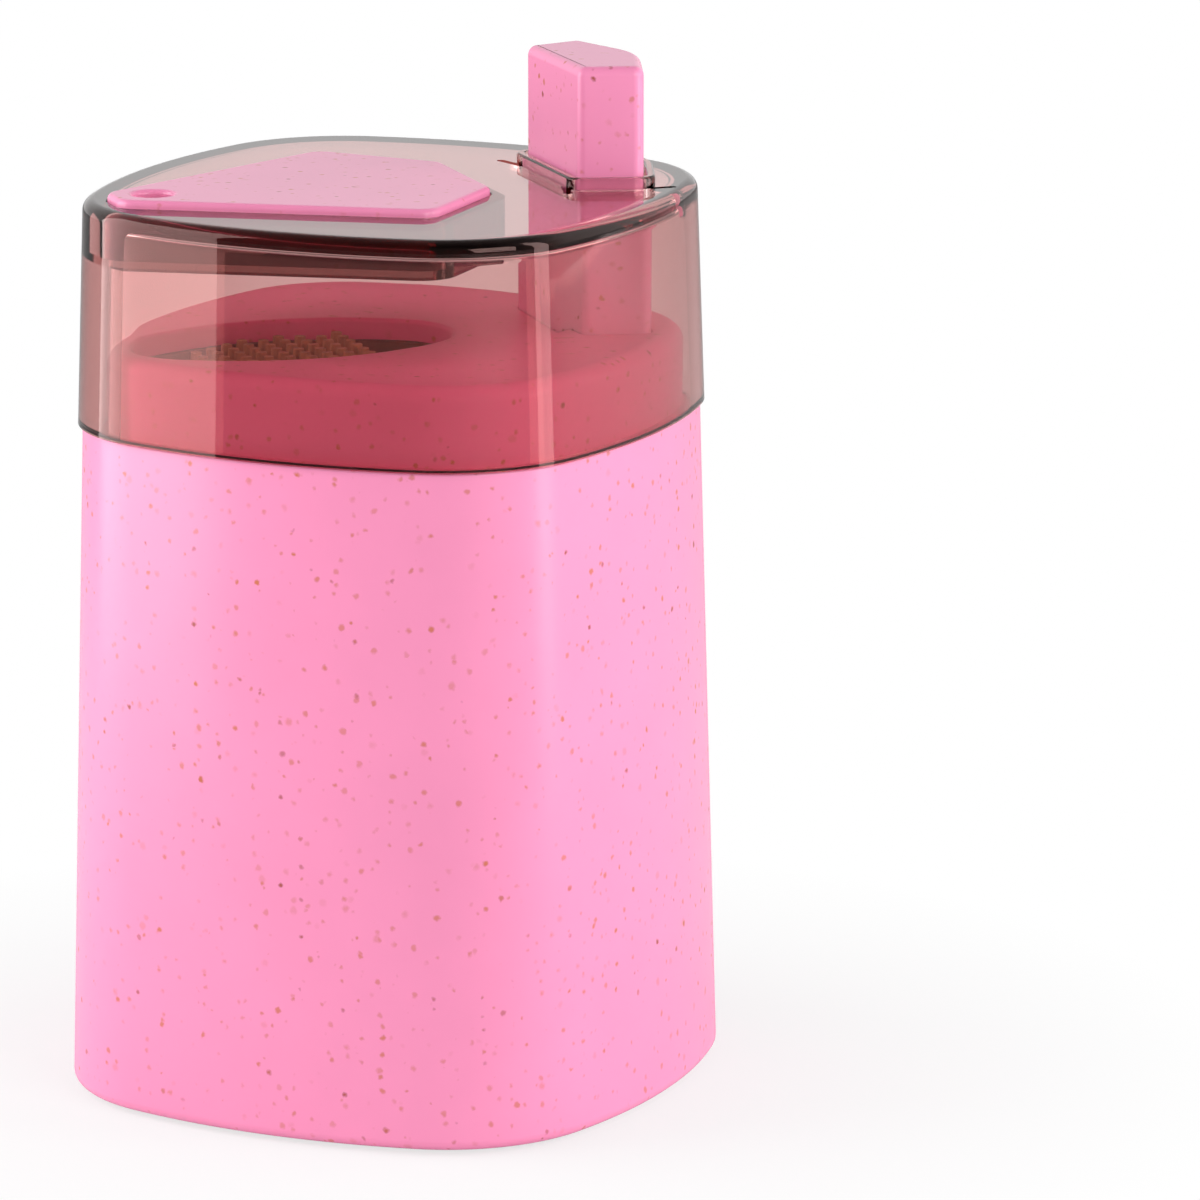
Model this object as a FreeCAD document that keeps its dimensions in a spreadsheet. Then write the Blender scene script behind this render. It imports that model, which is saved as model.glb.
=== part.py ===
"""Press-type toothpick dispenser: a pink tapered body, a smoked lid and a lever that lifts one pick.

Origin: centre of the footprint, on the surface it stands on. +Z is up. +X runs along the diagonal of the
square plan, from the exit hole at the -X corner to the press post at the +X corner. Millimetres and degrees.
"""
import FreeCAD, Part
import math
import os
import Sketcher

Vector = FreeCAD.Vector

SIZES = {
    # Body and neck
    "foot_rise": 0.5,              # gap under the body's rim, set by the rubber feet
    "seam_height": 70.0,           # top of the body, where the lid sits
    "base_half": 31.0,             # half the width across the flats at the bottom
    "body_top_half": 29.1,         # the same at the seam
    "side_radius": 67.0,           # bulge of the four sides in plan
    "corner_radius": 17.6,         # corner arcs in plan
    "body_wall": 2.4,
    "bottom_round": 1.2,
    "rim_wall": 1.8,               # wall round the socket of the neck
    "socket_depth": 8.0,
    "socket_gap": 0.1,
    "neck_inset": 2.6,             # step from the body's top outline in to the neck
    "neck_wall": 1.8,
    "neck_rise": 8.2,              # the deck's top above the seam
    "deck_wall": 2.2,
    "deck_round": 1.6,
    # Deck opening, an oval of four arcs
    "opening_place": 10.8,         # its centre's distance towards -X
    "opening_length": 33.6,
    "opening_width": 20.4,
    "opening_end_radius": 7.4,
    "opening_chamfer": 0.4,
    # Lid
    "lid_bottom_half": 29.55,
    "lid_top_half": 28.8,
    "lid_height": 23.2,
    "lid_wall": 2.3,
    "lid_roof": 2.0,
    "lid_round": 1.3,
    # Petal cap, the hull of its corner circles, and the collar that holds it
    "petal_tip_place": 27.6,       # towards -X
    "petal_tip_spread": 1.3,
    "petal_wide_place": 2.4,       # towards -X
    "petal_wide_spread": 16.0,
    "petal_end_place": 5.8,        # towards +X
    "petal_end_spread": 7.0,
    "petal_corner_radius": 2.2,
    "petal_rise": 0.8,             # how far it stands above the lid
    "petal_edge_round": 0.6,
    "petal_gap": 0.12,
    "petal_roof": 2.0,
    "petal_wall": 1.2,
    "collar_wall": 1.4,
    "collar_depth": 6.0,
    "collar_ledge": 0.9,
    "collar_ledge_wall": 0.8,
    "exit_place": 25.5,            # the exit hole's distance towards -X
    "exit_radius": 2.1,
    "exit_round": 0.4,
    "exit_tube_wall": 0.8,
    # Press post, the hull of its corner circles
    "post_face_place": 18.3,
    "post_face_spread": 7.3,
    "post_face_radius": 0.9,
    "post_back_place": 23.0,
    "post_back_spread": 8.3,
    "post_back_radius": 1.2,
    "post_bulge_place": 17.5,
    "post_bulge_radius": 9.0,
    "post_rise": 12.4,             # the post's top above the lid's
    "post_top_round": 0.8,
    "post_roof": 2.2,
    "post_skin": 1.8,
    "post_hole_gap": 0.3,
    "post_run_gap": 0.1,
    "post_flange": 1.3,
    "post_flange_wall": 1.6,
    "post_stop_gap": 0.2,
    "lip_wall": 0.9,
    "lip_rise": 1.2,
    "slot_radius": 0.45,           # the four slots beside the lip, hulls of two circles
    "front_slot_place": 15.4,
    "front_slot_spread": 10.2,
    "front_slot_run": 1.0,
    "front_slot_rise": 3.6,
    "back_slot_place": 24.6,
    "back_slot_spread": 10.4,
    "back_slot_run": 2.0,
    "sleeve_wall": 1.4,
    "sleeve_length": 14.0,
    # Press travel and lever
    "press_travel": 10.8,
    "post_arm": 12.6,
    "lift_arm": 29.0,
    "shaft_place": 7.3,            # the lever axle's distance towards +X
    "shaft_height": 26.0,
    "shaft_radius": 1.25,
    "shaft_gap": 0.05,
    "shaft_boss_wall": 2.2,
    "link_radius": 1.25,
    "link_boss_wall": 1.2,
    "pin_radius": 1.0,
    "pin_boss_wall": 1.0,
    "slot_gap": 0.25,
    "arm_gap": 0.3,
    "arm_wall": 1.4,
    "web_place": 5.6,
    "web_radius": 1.6,
    "stem_width": 5.0,
    "stem_wall": 2.0,
    "stem_foot": 3.4,              # from the link pin down to the stem's foot
    "stem_foot_radius": 4.3,
    "stem_foot_wall": 1.5,
    # Hopper, the hull of its corner circles, and the picks
    "throat_radius": 1.3,
    "shoulder_place": 13.0,        # towards -X
    "shoulder_spread": 6.9,
    "shoulder_radius": 3.3,
    "back_place": 1.4,             # towards -X
    "back_spread": 1.8,
    "back_radius": 5.6,
    "hopper_wall": 1.0,
    "hopper_top_gap": 0.1,
    "floor_height": 11.2,
    "floor_wall": 1.7,
    "floor_slope": 2.5,
    "flange_drop": 4.2,            # from the deck's top to the flange's upper face
    "flange_wall": 2.0,
    "funnel_grow": 0.25,           # the funnel's outside beyond the deck's opening
    "funnel_wall": 0.8,
    "ear_place": 11.0,             # towards -X
    "ear_length": 12.0,
    "ear_reach": 16.4,
    "ear_screw_pitch": 7.0,
    "ear_screw_spread": 14.0,
    "pick_headroom": 2.0,          # from a pick's length above the hopper's floor up to the deck's top
    "pick_radius": 1.0,
    "pick_point": 5.0,
    "pick_point_radius": 0.25,
    "pick_pitch": 2.25,
    "pick_gap": 0.25,
    "stock_front": 3.0,            # the stock ends this far towards -X from the axis
    # Lifter
    "lifter_width": 1.8,
    "lifter_wall": 2.2,
    "lifter_gap": 0.3,
    "lifter_corner_spread": 9.6,
    "lifter_root": 2.2,
    "cup_radius": 0.7,
    "cup_depth": 0.6,
    "cheek_wall": 1.1,
    "cheek_gap": 0.3,
    "cheek_rim": 1.4,
    # Bottom cover, screws, saddle and spring
    "plate_wall": 2.5,
    "plate_rise": 1.2,
    "plate_gap": 0.3,
    "foot_radius": 3.5,
    "foot_recess": 0.8,
    "foot_gap": 0.1,
    "foot_inset": 7.5,             # from the bottom's half width in to the feet
    "boss_inset": 5.1,             # the same, square to the flats, to the screw bosses
    "boss_radius": 2.8,
    "boss_height": 11.0,
    "screw_radius": 1.25,
    "screw_hole_gap": 0.25,
    "fit_gap": 0.03,
    "screw_head_radius": 2.3,
    "screw_head_wall": 1.4,
    "screw_length": 9.0,
    "small_screw_radius": 0.9,
    "small_head_radius": 1.7,
    "small_head_wall": 1.1,
    "small_screw_length": 5.0,
    "saddle_screw_length": 3.8,
    "small_boss_radius": 2.1,
    "hole_spare": 0.3,             # a blind hole is this much deeper than its screw
    "cross_width": 0.5,
    "cross_length_share": 1.3,     # the cross recess, as a share of the head's radius
    "cross_depth_share": 0.6,      # the same, of the head's height
    "spring_radius": 3.4,
    "spring_wire": 0.4,
    "spring_turns": 8,
    "peg_radius": 2.5,
    "peg_height": 6.0,
    "spigot_height": 3.5,
    "seat_gap": 0.05,
    "upright_wall": 1.6,
    "upright_gap": 0.6,
    "upright_half": 2.8,
    "upright_rise": 2.6,
    "saddle_wall": 2.0,
    "saddle_screw_spread": 6.0,
    "foot_round": 0.4,
    "clip_radius": 2.3,
    "clip_wall": 0.6,
    "clip_gap": 0.1,
    "shaft_end": 0.5,
    "overrun": 1.0,                # how far a cut runs past the piece it cuts
}

document = FreeCAD.newDocument("toothpick_dispenser")
sheet = document.addObject("Spreadsheet::Sheet", "Sizes")


class Size:
    """A number together with the sheet formula that gives it."""

    def __init__(self, value, formula):
        self.value = value
        self.formula = formula

    @staticmethod
    def of(other):
        return other if isinstance(other, Size) else Size(float(other), repr(other))

    def __add__(self, other):
        other = Size.of(other)
        return Size(self.value + other.value, f"({self.formula} + {other.formula})")

    def __sub__(self, other):
        other = Size.of(other)
        return Size(self.value - other.value, f"({self.formula} - {other.formula})")

    def __mul__(self, other):
        other = Size.of(other)
        return Size(self.value * other.value, f"({self.formula} * {other.formula})")

    def __truediv__(self, other):
        other = Size.of(other)
        return Size(self.value / other.value, f"({self.formula} / {other.formula})")

    def __neg__(self):
        return Size(-self.value, f"(0 - {self.formula})")

    def __radd__(self, other):
        return Size.of(other) + self

    def __rsub__(self, other):
        return Size.of(other) - self

    def __rmul__(self, other):
        return Size.of(other) * self

    def root(self):
        return Size(math.sqrt(self.value), f"sqrt({self.formula})")

    def sine(self):
        return Size(math.sin(math.radians(self.value)), f"sin({self.formula} * 1 deg)")

    def cosine(self):
        return Size(math.cos(math.radians(self.value)), f"cos({self.formula} * 1 deg)")


ZERO = Size(0.0, "0")


class Sizes:
    """The sheet's cells, each as a Size under its alias."""

    def __init__(self, values):
        for row, (alias, value) in enumerate(values.items(), start=1):
            sheet.set(f"A{row}", alias)
            sheet.set(f"B{row}", repr(value))
            sheet.setAlias(f"B{row}", alias)
            setattr(self, alias, Size(value, f"Sizes.{alias}"))


s = Sizes(SIZES)
document.recompute()


def bind(thing, name, size):
    """Set a property from a size and keep it bound to the sheet."""
    size = Size.of(size)
    if "." not in name:
        setattr(thing, name, size.value)
    thing.setExpression(name, size.formula)


# Places and heights that follow from the sizes

body_bottom = s.foot_rise
seam_inset = s.base_half - s.body_top_half
lid_inset = s.base_half - s.lid_bottom_half
body_draft = seam_inset / (s.seam_height - s.foot_rise)
lid_draft = (s.lid_bottom_half - s.lid_top_half) / s.lid_height
deck_height = s.seam_height + s.neck_rise
deck_under = deck_height - s.deck_wall
socket_floor = s.seam_height - s.socket_depth
lid_top = s.seam_height + s.lid_height
lid_under = lid_top - s.lid_roof
post_height = lid_top + s.post_rise
petal_top = lid_top + s.petal_rise
collar_bottom = lid_top - s.collar_depth
skirt_bottom = collar_bottom + s.collar_ledge_wall
plate_top = s.plate_rise + s.plate_wall
saddle_top = plate_top + s.saddle_wall
flange_top = deck_height - s.flange_drop
flange_under = flange_top - s.flange_wall
pick_length = deck_height - s.floor_height - s.pick_headroom
hopper_bottom = s.floor_height - s.floor_wall
hopper_top = deck_under - s.hopper_top_gap
sleeve_bottom = deck_under - s.sleeve_length
post_flange_top = sleeve_bottom - s.post_stop_gap
head_bottom = post_flange_top - s.post_flange_wall

swing_sine = s.press_travel / (2 * s.post_arm)
swing_cosine = (1 - swing_sine * swing_sine).root()
lift_travel = 2 * s.lift_arm * swing_sine
link_height = s.shaft_height + s.post_arm * swing_sine
link_near = s.shaft_place + s.post_arm * swing_cosine
link_far = s.shaft_place + s.post_arm
pin_height = s.shaft_height - s.lift_arm * swing_sine
pin_near = s.shaft_place - s.lift_arm * swing_cosine
pin_far = s.shaft_place - s.lift_arm
stem_bottom = link_height - s.stem_foot
stem_place = (link_near + link_far) / 2
stem_half = (link_far - link_near) / 2 + s.link_radius + s.slot_gap + s.stem_wall

hopper_half = s.shoulder_spread + s.shoulder_radius + s.hopper_wall
cheek_inner = hopper_half + s.cheek_gap
cheek_outer = cheek_inner + s.cheek_wall
arm_inner = cheek_outer + s.arm_gap
arm_outer = arm_inner + s.arm_wall
upright_outer = arm_inner - s.upright_gap
upright_inner = upright_outer - s.upright_wall
lifter_bottom = s.floor_height - s.lifter_wall
foot_place = s.base_half - s.foot_inset
boss_across = (s.base_half - s.boss_inset) / Size.of(2).root()

# Corner circles of the convex plans: distance along X, distance along Y, radius

PETAL = [
    (-s.petal_tip_place, -s.petal_tip_spread, s.petal_corner_radius),
    (-s.petal_wide_place, -s.petal_wide_spread, s.petal_corner_radius),
    (s.petal_end_place, -s.petal_end_spread, s.petal_corner_radius),
    (s.petal_end_place, s.petal_end_spread, s.petal_corner_radius),
    (-s.petal_wide_place, s.petal_wide_spread, s.petal_corner_radius),
    (-s.petal_tip_place, s.petal_tip_spread, s.petal_corner_radius),
]
POST = [
    (s.post_face_place, -s.post_face_spread, s.post_face_radius),
    (s.post_back_place, -s.post_back_spread, s.post_back_radius),
    (s.post_bulge_place, ZERO, s.post_bulge_radius),
    (s.post_back_place, s.post_back_spread, s.post_back_radius),
    (s.post_face_place, s.post_face_spread, s.post_face_radius),
]
HOPPER = [
    (-s.exit_place, ZERO, s.throat_radius),
    (-s.shoulder_place, -s.shoulder_spread, s.shoulder_radius),
    (-s.back_place, -s.back_spread, s.back_radius),
    (-s.back_place, s.back_spread, s.back_radius),
    (-s.shoulder_place, s.shoulder_spread, s.shoulder_radius),
]


# Sketch and feature helpers

def origin_plane(body, role):
    return next(plane for plane in body.Origin.OriginFeatures if plane.Role == role)


def new_sketch(body, name, height=ZERO, role="XY_Plane"):
    """A sketch of a body, parallel to one of its origin planes."""
    sketch = body.newObject("Sketcher::SketchObject", name)
    sketch.AttachmentSupport = [(origin_plane(body, role), "")]
    sketch.MapMode = "FlatFace"
    sketch.AttachmentOffset = FreeCAD.Placement(Vector(0, 0, height.value), FreeCAD.Rotation())
    sketch.setExpression("AttachmentOffset.Base.z", height.formula)
    return sketch


def limit(sketch, kind, *place_and_size):
    """Add one dimension to a sketch, bound to the sheet."""
    *place, size = place_and_size
    size = Size.of(size)
    index = sketch.addConstraint(Sketcher.Constraint(kind, *place, size.value))
    sketch.setExpression(f"Constraints[{index}]", size.formula)


def arc_between(centre, radius, start, end):
    """A counter-clockwise arc for a sketch, its angles in radians."""
    circle = Part.Circle(Vector(centre[0], centre[1], 0), Vector(0, 0, 1), radius)
    return Part.ArcOfCircle(circle, start, end)


def draw_outline(sketch, inset):
    """The plan of the body, moved inwards: four bulged sides and four corner arcs, the corners on the axes."""
    reach = s.side_radius - s.base_half
    spread = s.side_radius - s.corner_radius
    corner = ((2 * (spread * spread)) - reach * reach).root() - reach
    corner_place = corner / 2 * Size.of(2).root()
    across = corner.value / 2
    turn = math.atan2(across, across + reach.value)
    side_radius = s.side_radius - inset
    corner_radius = s.corner_radius - inset
    for quarter in range(4):
        side_angle = math.radians(90 * quarter - 45)
        centre = (-reach.value * math.cos(side_angle), -reach.value * math.sin(side_angle))
        sketch.addGeometry(arc_between(centre, side_radius.value, side_angle - turn, side_angle + turn))
        corner_angle = side_angle + math.pi / 4
        centre = (corner_place.value * math.cos(corner_angle), corner_place.value * math.sin(corner_angle))
        sweep = math.pi / 4 - turn
        arc = arc_between(centre, corner_radius.value, corner_angle - sweep, corner_angle + sweep)
        sketch.addGeometry(arc)
    for edge in range(8):
        sketch.addConstraint(Sketcher.Constraint("Tangent", edge, 2, (edge + 1) % 8, 1))
    for quarter, (across, along) in enumerate(((1, 0), (0, 1), (-1, 0), (0, -1))):
        edge = 2 * quarter + 1
        limit(sketch, "DistanceX", edge, 3, corner_place * across)
        limit(sketch, "DistanceY", edge, 3, corner_place * along)
        limit(sketch, "Radius", edge, corner_radius)
        limit(sketch, "Radius", edge - 1, side_radius)


def draw_oval(sketch, centre, length, width, end_radius, grow=ZERO):
    """An oval of four tangent arcs on the X axis, grown outwards all round."""
    half_length = length / 2
    half_width = width / 2
    end_place = half_length - end_radius
    long_radius = (end_place * end_place + half_width * half_width - end_radius * end_radius) / (
        2 * (half_width - end_radius))
    depth = long_radius - half_width
    turn = math.atan2(depth.value, end_place.value)
    small = (end_radius + grow).value
    large = (long_radius + grow).value
    right = (centre + end_place).value
    left = (centre - end_place).value
    middle = centre.value
    sketch.addGeometry(arc_between((right, 0), small, -turn, turn))
    sketch.addGeometry(arc_between((middle, -depth.value), large, turn, math.pi - turn))
    sketch.addGeometry(arc_between((left, 0), small, math.pi - turn, math.pi + turn))
    sketch.addGeometry(arc_between((middle, depth.value), large, math.pi + turn, 2 * math.pi - turn))
    for edge in range(4):
        sketch.addConstraint(Sketcher.Constraint("Tangent", edge, 2, (edge + 1) % 4, 1))
    for edge, place in ((0, centre + end_place), (2, centre - end_place)):
        limit(sketch, "DistanceX", edge, 3, place)
        limit(sketch, "DistanceY", edge, 3, ZERO)
        limit(sketch, "Radius", edge, end_radius + grow)
    limit(sketch, "Radius", 1, long_radius + grow)
    limit(sketch, "Radius", 3, long_radius + grow)


def draw_hull(sketch, circles, grow=ZERO):
    """A convex outline of arcs and tangent lines round corner circles, grown outwards all round.

    The circles run counter-clockwise, each as distance along X, distance along Y and radius.
    """
    first = sketch.GeometryCount
    count = len(circles)
    places = [(across.value, along.value, (radius + grow).value) for across, along, radius in circles]
    normals = []
    for index, (across, along, radius) in enumerate(places):
        after = places[(index + 1) % count]
        heading = math.atan2(after[1] - along, after[0] - across)
        distance = math.hypot(after[0] - across, after[1] - along)
        normals.append(heading - math.acos((radius - after[2]) / distance))
    for index, (across, along, radius) in enumerate(places):
        start = normals[index - 1]
        end = start + (normals[index] - start) % (2 * math.pi)
        sketch.addGeometry(arc_between((across, along), radius, start, end))
        after = places[(index + 1) % count]
        turn = Vector(math.cos(end), math.sin(end), 0)
        line_start = Vector(across, along, 0) + turn * radius
        line_end = Vector(after[0], after[1], 0) + turn * after[2]
        sketch.addGeometry(Part.LineSegment(line_start, line_end))
    edges = 2 * count
    for edge in range(edges):
        following = first + (edge + 1) % edges
        sketch.addConstraint(Sketcher.Constraint("Tangent", first + edge, 2, following, 1))
    for index, (across, along, radius) in enumerate(circles):
        arc = first + 2 * index
        limit(sketch, "DistanceX", arc, 3, across)
        limit(sketch, "DistanceY", arc, 3, along)
        limit(sketch, "Radius", arc, radius + grow)


def draw_polygon(sketch, points):
    """A closed outline of straight lines through points given as pairs of sizes."""
    count = len(points)
    first = sketch.GeometryCount
    for index, (across, along) in enumerate(points):
        following = points[(index + 1) % count]
        start = Vector(across.value, along.value, 0)
        end = Vector(following[0].value, following[1].value, 0)
        sketch.addGeometry(Part.LineSegment(start, end))
    for index, (across, along) in enumerate(points):
        edge = first + index
        before = first + (index - 1) % count
        sketch.addConstraint(Sketcher.Constraint("Coincident", before, 2, edge, 1))
        limit(sketch, "DistanceX", edge, 1, across)
        limit(sketch, "DistanceY", edge, 1, along)


def draw_rectangle(sketch, left, right, low, high):
    draw_polygon(sketch, [(left, low), (right, low), (right, high), (left, high)])


def draw_circle(sketch, across, along, radius):
    edge = sketch.GeometryCount
    sketch.addGeometry(Part.Circle(Vector(across.value, along.value, 0), Vector(0, 0, 1), radius.value))
    limit(sketch, "DistanceX", edge, 3, across)
    limit(sketch, "DistanceY", edge, 3, along)
    limit(sketch, "Radius", edge, radius)


def new_body(name):
    body = document.addObject("PartDesign::Body", name)
    body.Label = name
    body.AllowCompound = True
    return body


def pad(body, sketch, length, down=False, both=False, draft=None):
    """Add a sketch's solid, upwards unless told otherwise; draft leans its sides inwards."""
    feature = body.newObject("PartDesign::Pad", sketch.Name + "_pad")
    feature.Profile = sketch
    bind(feature, "Length", length)
    feature.Reversed = down
    if both:
        feature.SideType = "Symmetric"
    if draft:
        lean(feature, draft)
    document.recompute()
    return feature


def pocket(body, sketch, length, up=False, both=False, draft=None):
    """Cut a sketch's solid away, downwards unless told otherwise."""
    feature = body.newObject("PartDesign::Pocket", sketch.Name + "_pocket")
    feature.Profile = sketch
    bind(feature, "Length", length)
    feature.Reversed = up
    if both:
        feature.SideType = "Symmetric"
    if draft:
        lean(feature, draft)
    before = body.Shape.Volume
    document.recompute()
    if not body.Shape.Volume < before:
        raise ValueError(f"{sketch.Name} cuts nothing")
    return feature


def lean(feature, draft):
    """Lean a feature's sides inwards by a slope, a narrowing over a length."""
    feature.TaperAngle = -math.degrees(math.atan(draft.value))
    feature.setExpression("TaperAngle", f"0 deg - atan({draft.formula})")


def edges_where(shape, test):
    return [f"Edge{index}" for index, edge in enumerate(shape.Edges, start=1) if test(edge)]


def round_edges(body, test, radius, kind="Fillet"):
    """Fillet or chamfer the edges of a body's last feature that pass the test."""
    tip = body.Tip
    names = edges_where(tip.Shape, test)
    if not names:
        raise ValueError(f"no edge of {body.Label} to round")
    feature = body.newObject(f"PartDesign::{kind}", f"{body.Label}_{kind.lower()}_{len(body.Group)}")
    feature.Base = (tip, names)
    bind(feature, "Radius" if kind == "Fillet" else "Size", radius)
    document.recompute()
    return feature


def lies_at(height):
    """A test for edges that lie in one level plane."""
    def test(edge):
        box = edge.BoundBox
        return abs(box.ZMin - height.value) < 1e-6 and abs(box.ZMax - height.value) < 1e-6
    return test


def four_ways(across, along):
    """The four places that mirror one place on both axes."""
    return [(across, along), (-across, along), (-across, -along), (across, -along)]


def draw_circles(sketch, places, radius):
    for across, along in places:
        draw_circle(sketch, across, along, radius)


def pad_circles(body, name, height, places, radius, length, down=False):
    sketch = new_sketch(body, name, height)
    draw_circles(sketch, places, radius)
    return pad(body, sketch, length, down)


def pocket_circles(body, name, height, places, radius, length, up=False):
    sketch = new_sketch(body, name, height)
    draw_circles(sketch, places, radius)
    return pocket(body, sketch, length, up)


def pad_hull(body, name, height, circles, grow, length):
    sketch = new_sketch(body, name, height)
    draw_hull(sketch, circles, grow)
    return pad(body, sketch, length)


def pocket_hull(body, name, height, circles, grow, length):
    """Cut a hull upwards from a height."""
    sketch = new_sketch(body, name, height)
    draw_hull(sketch, circles, grow)
    return pocket(body, sketch, length, up=True)


def side_bar(body, name, place, height, radius, length):
    """A round bar along Y, centred on the XZ plane."""
    sketch = new_sketch(body, name, ZERO, "XZ_Plane")
    draw_circle(sketch, place, height, radius)
    return pad(body, sketch, length, both=True)


def side_hole(body, name, place, height, radius, length):
    """A round hole along Y, centred on the XZ plane."""
    sketch = new_sketch(body, name, ZERO, "XZ_Plane")
    draw_circle(sketch, place, height, radius)
    return pocket(body, sketch, length, both=True)


# Body and neck

def boss_places():
    return four_ways(boss_across, boss_across)


def foot_places():
    return [(foot_place, ZERO), (ZERO, foot_place), (-foot_place, ZERO), (ZERO, -foot_place)]


def ear_screw_places():
    near = s.ear_screw_pitch / 2 - s.ear_place
    far = -s.ear_screw_pitch / 2 - s.ear_place
    spread = s.ear_screw_spread
    return [(near, spread), (far, spread), (far, -spread), (near, -spread)]


def make_outer_body():
    """The tapered shell, open at both ends, with four screw bosses at its foot."""
    body = new_body("outer_body")
    height = s.seam_height - body_bottom
    shell = new_sketch(body, "shell", body_bottom)
    draw_outline(shell, ZERO)
    pad(body, shell, height, draft=body_draft)
    round_edges(body, lies_at(body_bottom), s.bottom_round)
    cavity = new_sketch(body, "cavity", body_bottom)
    draw_outline(cavity, s.body_wall)
    pocket(body, cavity, height, up=True, draft=body_draft)
    socket = new_sketch(body, "neck_socket", socket_floor)
    draw_outline(socket, seam_inset + s.rim_wall)
    pocket(body, socket, s.socket_depth + s.overrun, up=True)
    pad_circles(body, "foot_bosses", plate_top, boss_places(), s.boss_radius, s.boss_height)
    depth = s.screw_length - s.plate_wall + s.screw_head_wall + s.hole_spare
    pocket_circles(body, "boss_holes", plate_top, boss_places(), s.screw_radius + s.fit_gap, depth, up=True)
    return body


def make_neck_deck():
    """The plug, neck and deck, with the oval opening, the post's sleeve and four bosses for the hopper."""
    body = new_body("neck_deck")
    plug = new_sketch(body, "plug", socket_floor)
    draw_outline(plug, seam_inset + s.rim_wall + s.socket_gap)
    pad(body, plug, s.socket_depth)
    neck = new_sketch(body, "neck", socket_floor)
    draw_outline(neck, seam_inset + s.neck_inset)
    pad(body, neck, deck_height - socket_floor)
    round_edges(body, lies_at(deck_height), s.deck_round)
    inside = new_sketch(body, "neck_inside", socket_floor)
    draw_outline(inside, seam_inset + s.neck_inset + s.neck_wall)
    pocket(body, inside, deck_under - socket_floor, up=True)
    sleeve_length = s.sleeve_length + s.deck_wall / 2
    pad_hull(body, "post_sleeve", sleeve_bottom, POST, s.post_run_gap + s.sleeve_wall, sleeve_length)
    hole_length = deck_height - sleeve_bottom + s.overrun
    pocket_hull(body, "post_passage", sleeve_bottom, POST, s.post_run_gap, hole_length)
    boss_length = deck_under - flange_top + s.deck_wall / 4
    pad_circles(body, "deck_bosses", flange_top, ear_screw_places(), s.small_boss_radius, boss_length)
    hole_depth = s.small_screw_length - s.flange_wall + s.hole_spare
    hole_radius = s.small_screw_radius + s.fit_gap
    pocket_circles(body, "deck_boss_holes", flange_top, ear_screw_places(), hole_radius, hole_depth, up=True)
    opening = new_sketch(body, "deck_opening", deck_under)
    draw_oval(opening, -s.opening_place, s.opening_length, s.opening_width, s.opening_end_radius)
    pocket(body, opening, s.deck_wall + s.overrun, up=True)
    reach = s.opening_place.value + s.opening_length.value / 2 + 1e-3
    at_deck = lies_at(deck_height)

    def rims_opening(edge):
        box = edge.BoundBox
        inside_width = max(box.YMax, -box.YMin) < s.opening_width.value / 2 + 1e-3
        inside_length = -reach < box.XMin and box.XMax < s.post_face_place.value / 2
        return at_deck(edge) and inside_width and inside_length

    round_edges(body, rims_opening, s.opening_chamfer, "Chamfer")
    return body


def make_base_plate():
    """The bottom cover, with screw recesses, foot recesses and the peg of the spring."""
    body = new_body("base_plate")
    plan = new_sketch(body, "plate", s.plate_rise)
    draw_outline(plan, s.body_wall + s.plate_gap)
    pad(body, plan, s.plate_wall)
    pad_circles(body, "spring_peg", plate_top, [(stem_place, ZERO)], s.peg_radius, s.peg_height)
    pocket_circles(body, "plate_holes", s.plate_rise, boss_places(), s.screw_radius + s.screw_hole_gap,
                   s.plate_wall, up=True)
    pocket_circles(body, "head_recesses", s.plate_rise, boss_places(), s.screw_head_radius + s.screw_hole_gap,
                   s.screw_head_wall, up=True)
    pocket_circles(body, "foot_recesses", s.plate_rise, foot_places(), s.foot_radius + s.foot_gap,
                   s.foot_recess, up=True)
    hole_depth = s.saddle_screw_length - s.saddle_wall + s.hole_spare
    pocket_circles(body, "saddle_holes", plate_top, saddle_screw_places(), s.small_screw_radius + s.fit_gap,
                   hole_depth)
    return body


def make_rubber_feet():
    body = new_body("rubber_feet")
    pad_circles(body, "feet", ZERO, foot_places(), s.foot_radius, s.plate_rise + s.foot_recess)
    round_edges(body, lies_at(ZERO), s.foot_round)
    return body


# Screws and rings

def make_screws(name, places, seat, length, radius, head_radius, head_wall, heads_down):
    """Screws at several places, their heads under the seat height or above it."""
    body = new_body(name)
    pad_circles(body, f"{name}_heads", seat, places, head_radius, head_wall, down=heads_down)
    pad_circles(body, f"{name}_shanks", seat, places, radius, length, down=not heads_down)
    head_end = seat - head_wall if heads_down else seat + head_wall
    depth = head_wall * s.cross_depth_share
    long_half = head_radius * s.cross_length_share / 2
    short_half = s.cross_width / 2
    for label, across, along in (("one", long_half, short_half), ("two", short_half, long_half)):
        cross = new_sketch(body, f"{name}_cross_{label}", head_end)
        for place_x, place_y in places:
            draw_rectangle(cross, place_x - across, place_x + across, place_y - along, place_y + along)
        pocket(body, cross, depth, up=heads_down)
    return body


def make_base_screws():
    seat = s.plate_rise + s.screw_head_wall
    return make_screws("base_screws", boss_places(), seat, s.screw_length, s.screw_radius,
                       s.screw_head_radius, s.screw_head_wall, heads_down=True)


def make_hopper_screws():
    return make_screws("hopper_screws", ear_screw_places(), flange_under, s.small_screw_length,
                       s.small_screw_radius, s.small_head_radius, s.small_head_wall, heads_down=True)


def saddle_screw_places():
    return [(s.shaft_place, s.saddle_screw_spread), (s.shaft_place, -s.saddle_screw_spread)]


def make_bracket_screws():
    return make_screws("bracket_screws", saddle_screw_places(), saddle_top, s.saddle_screw_length,
                       s.small_screw_radius, s.small_head_radius, s.small_head_wall, heads_down=False)


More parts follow.
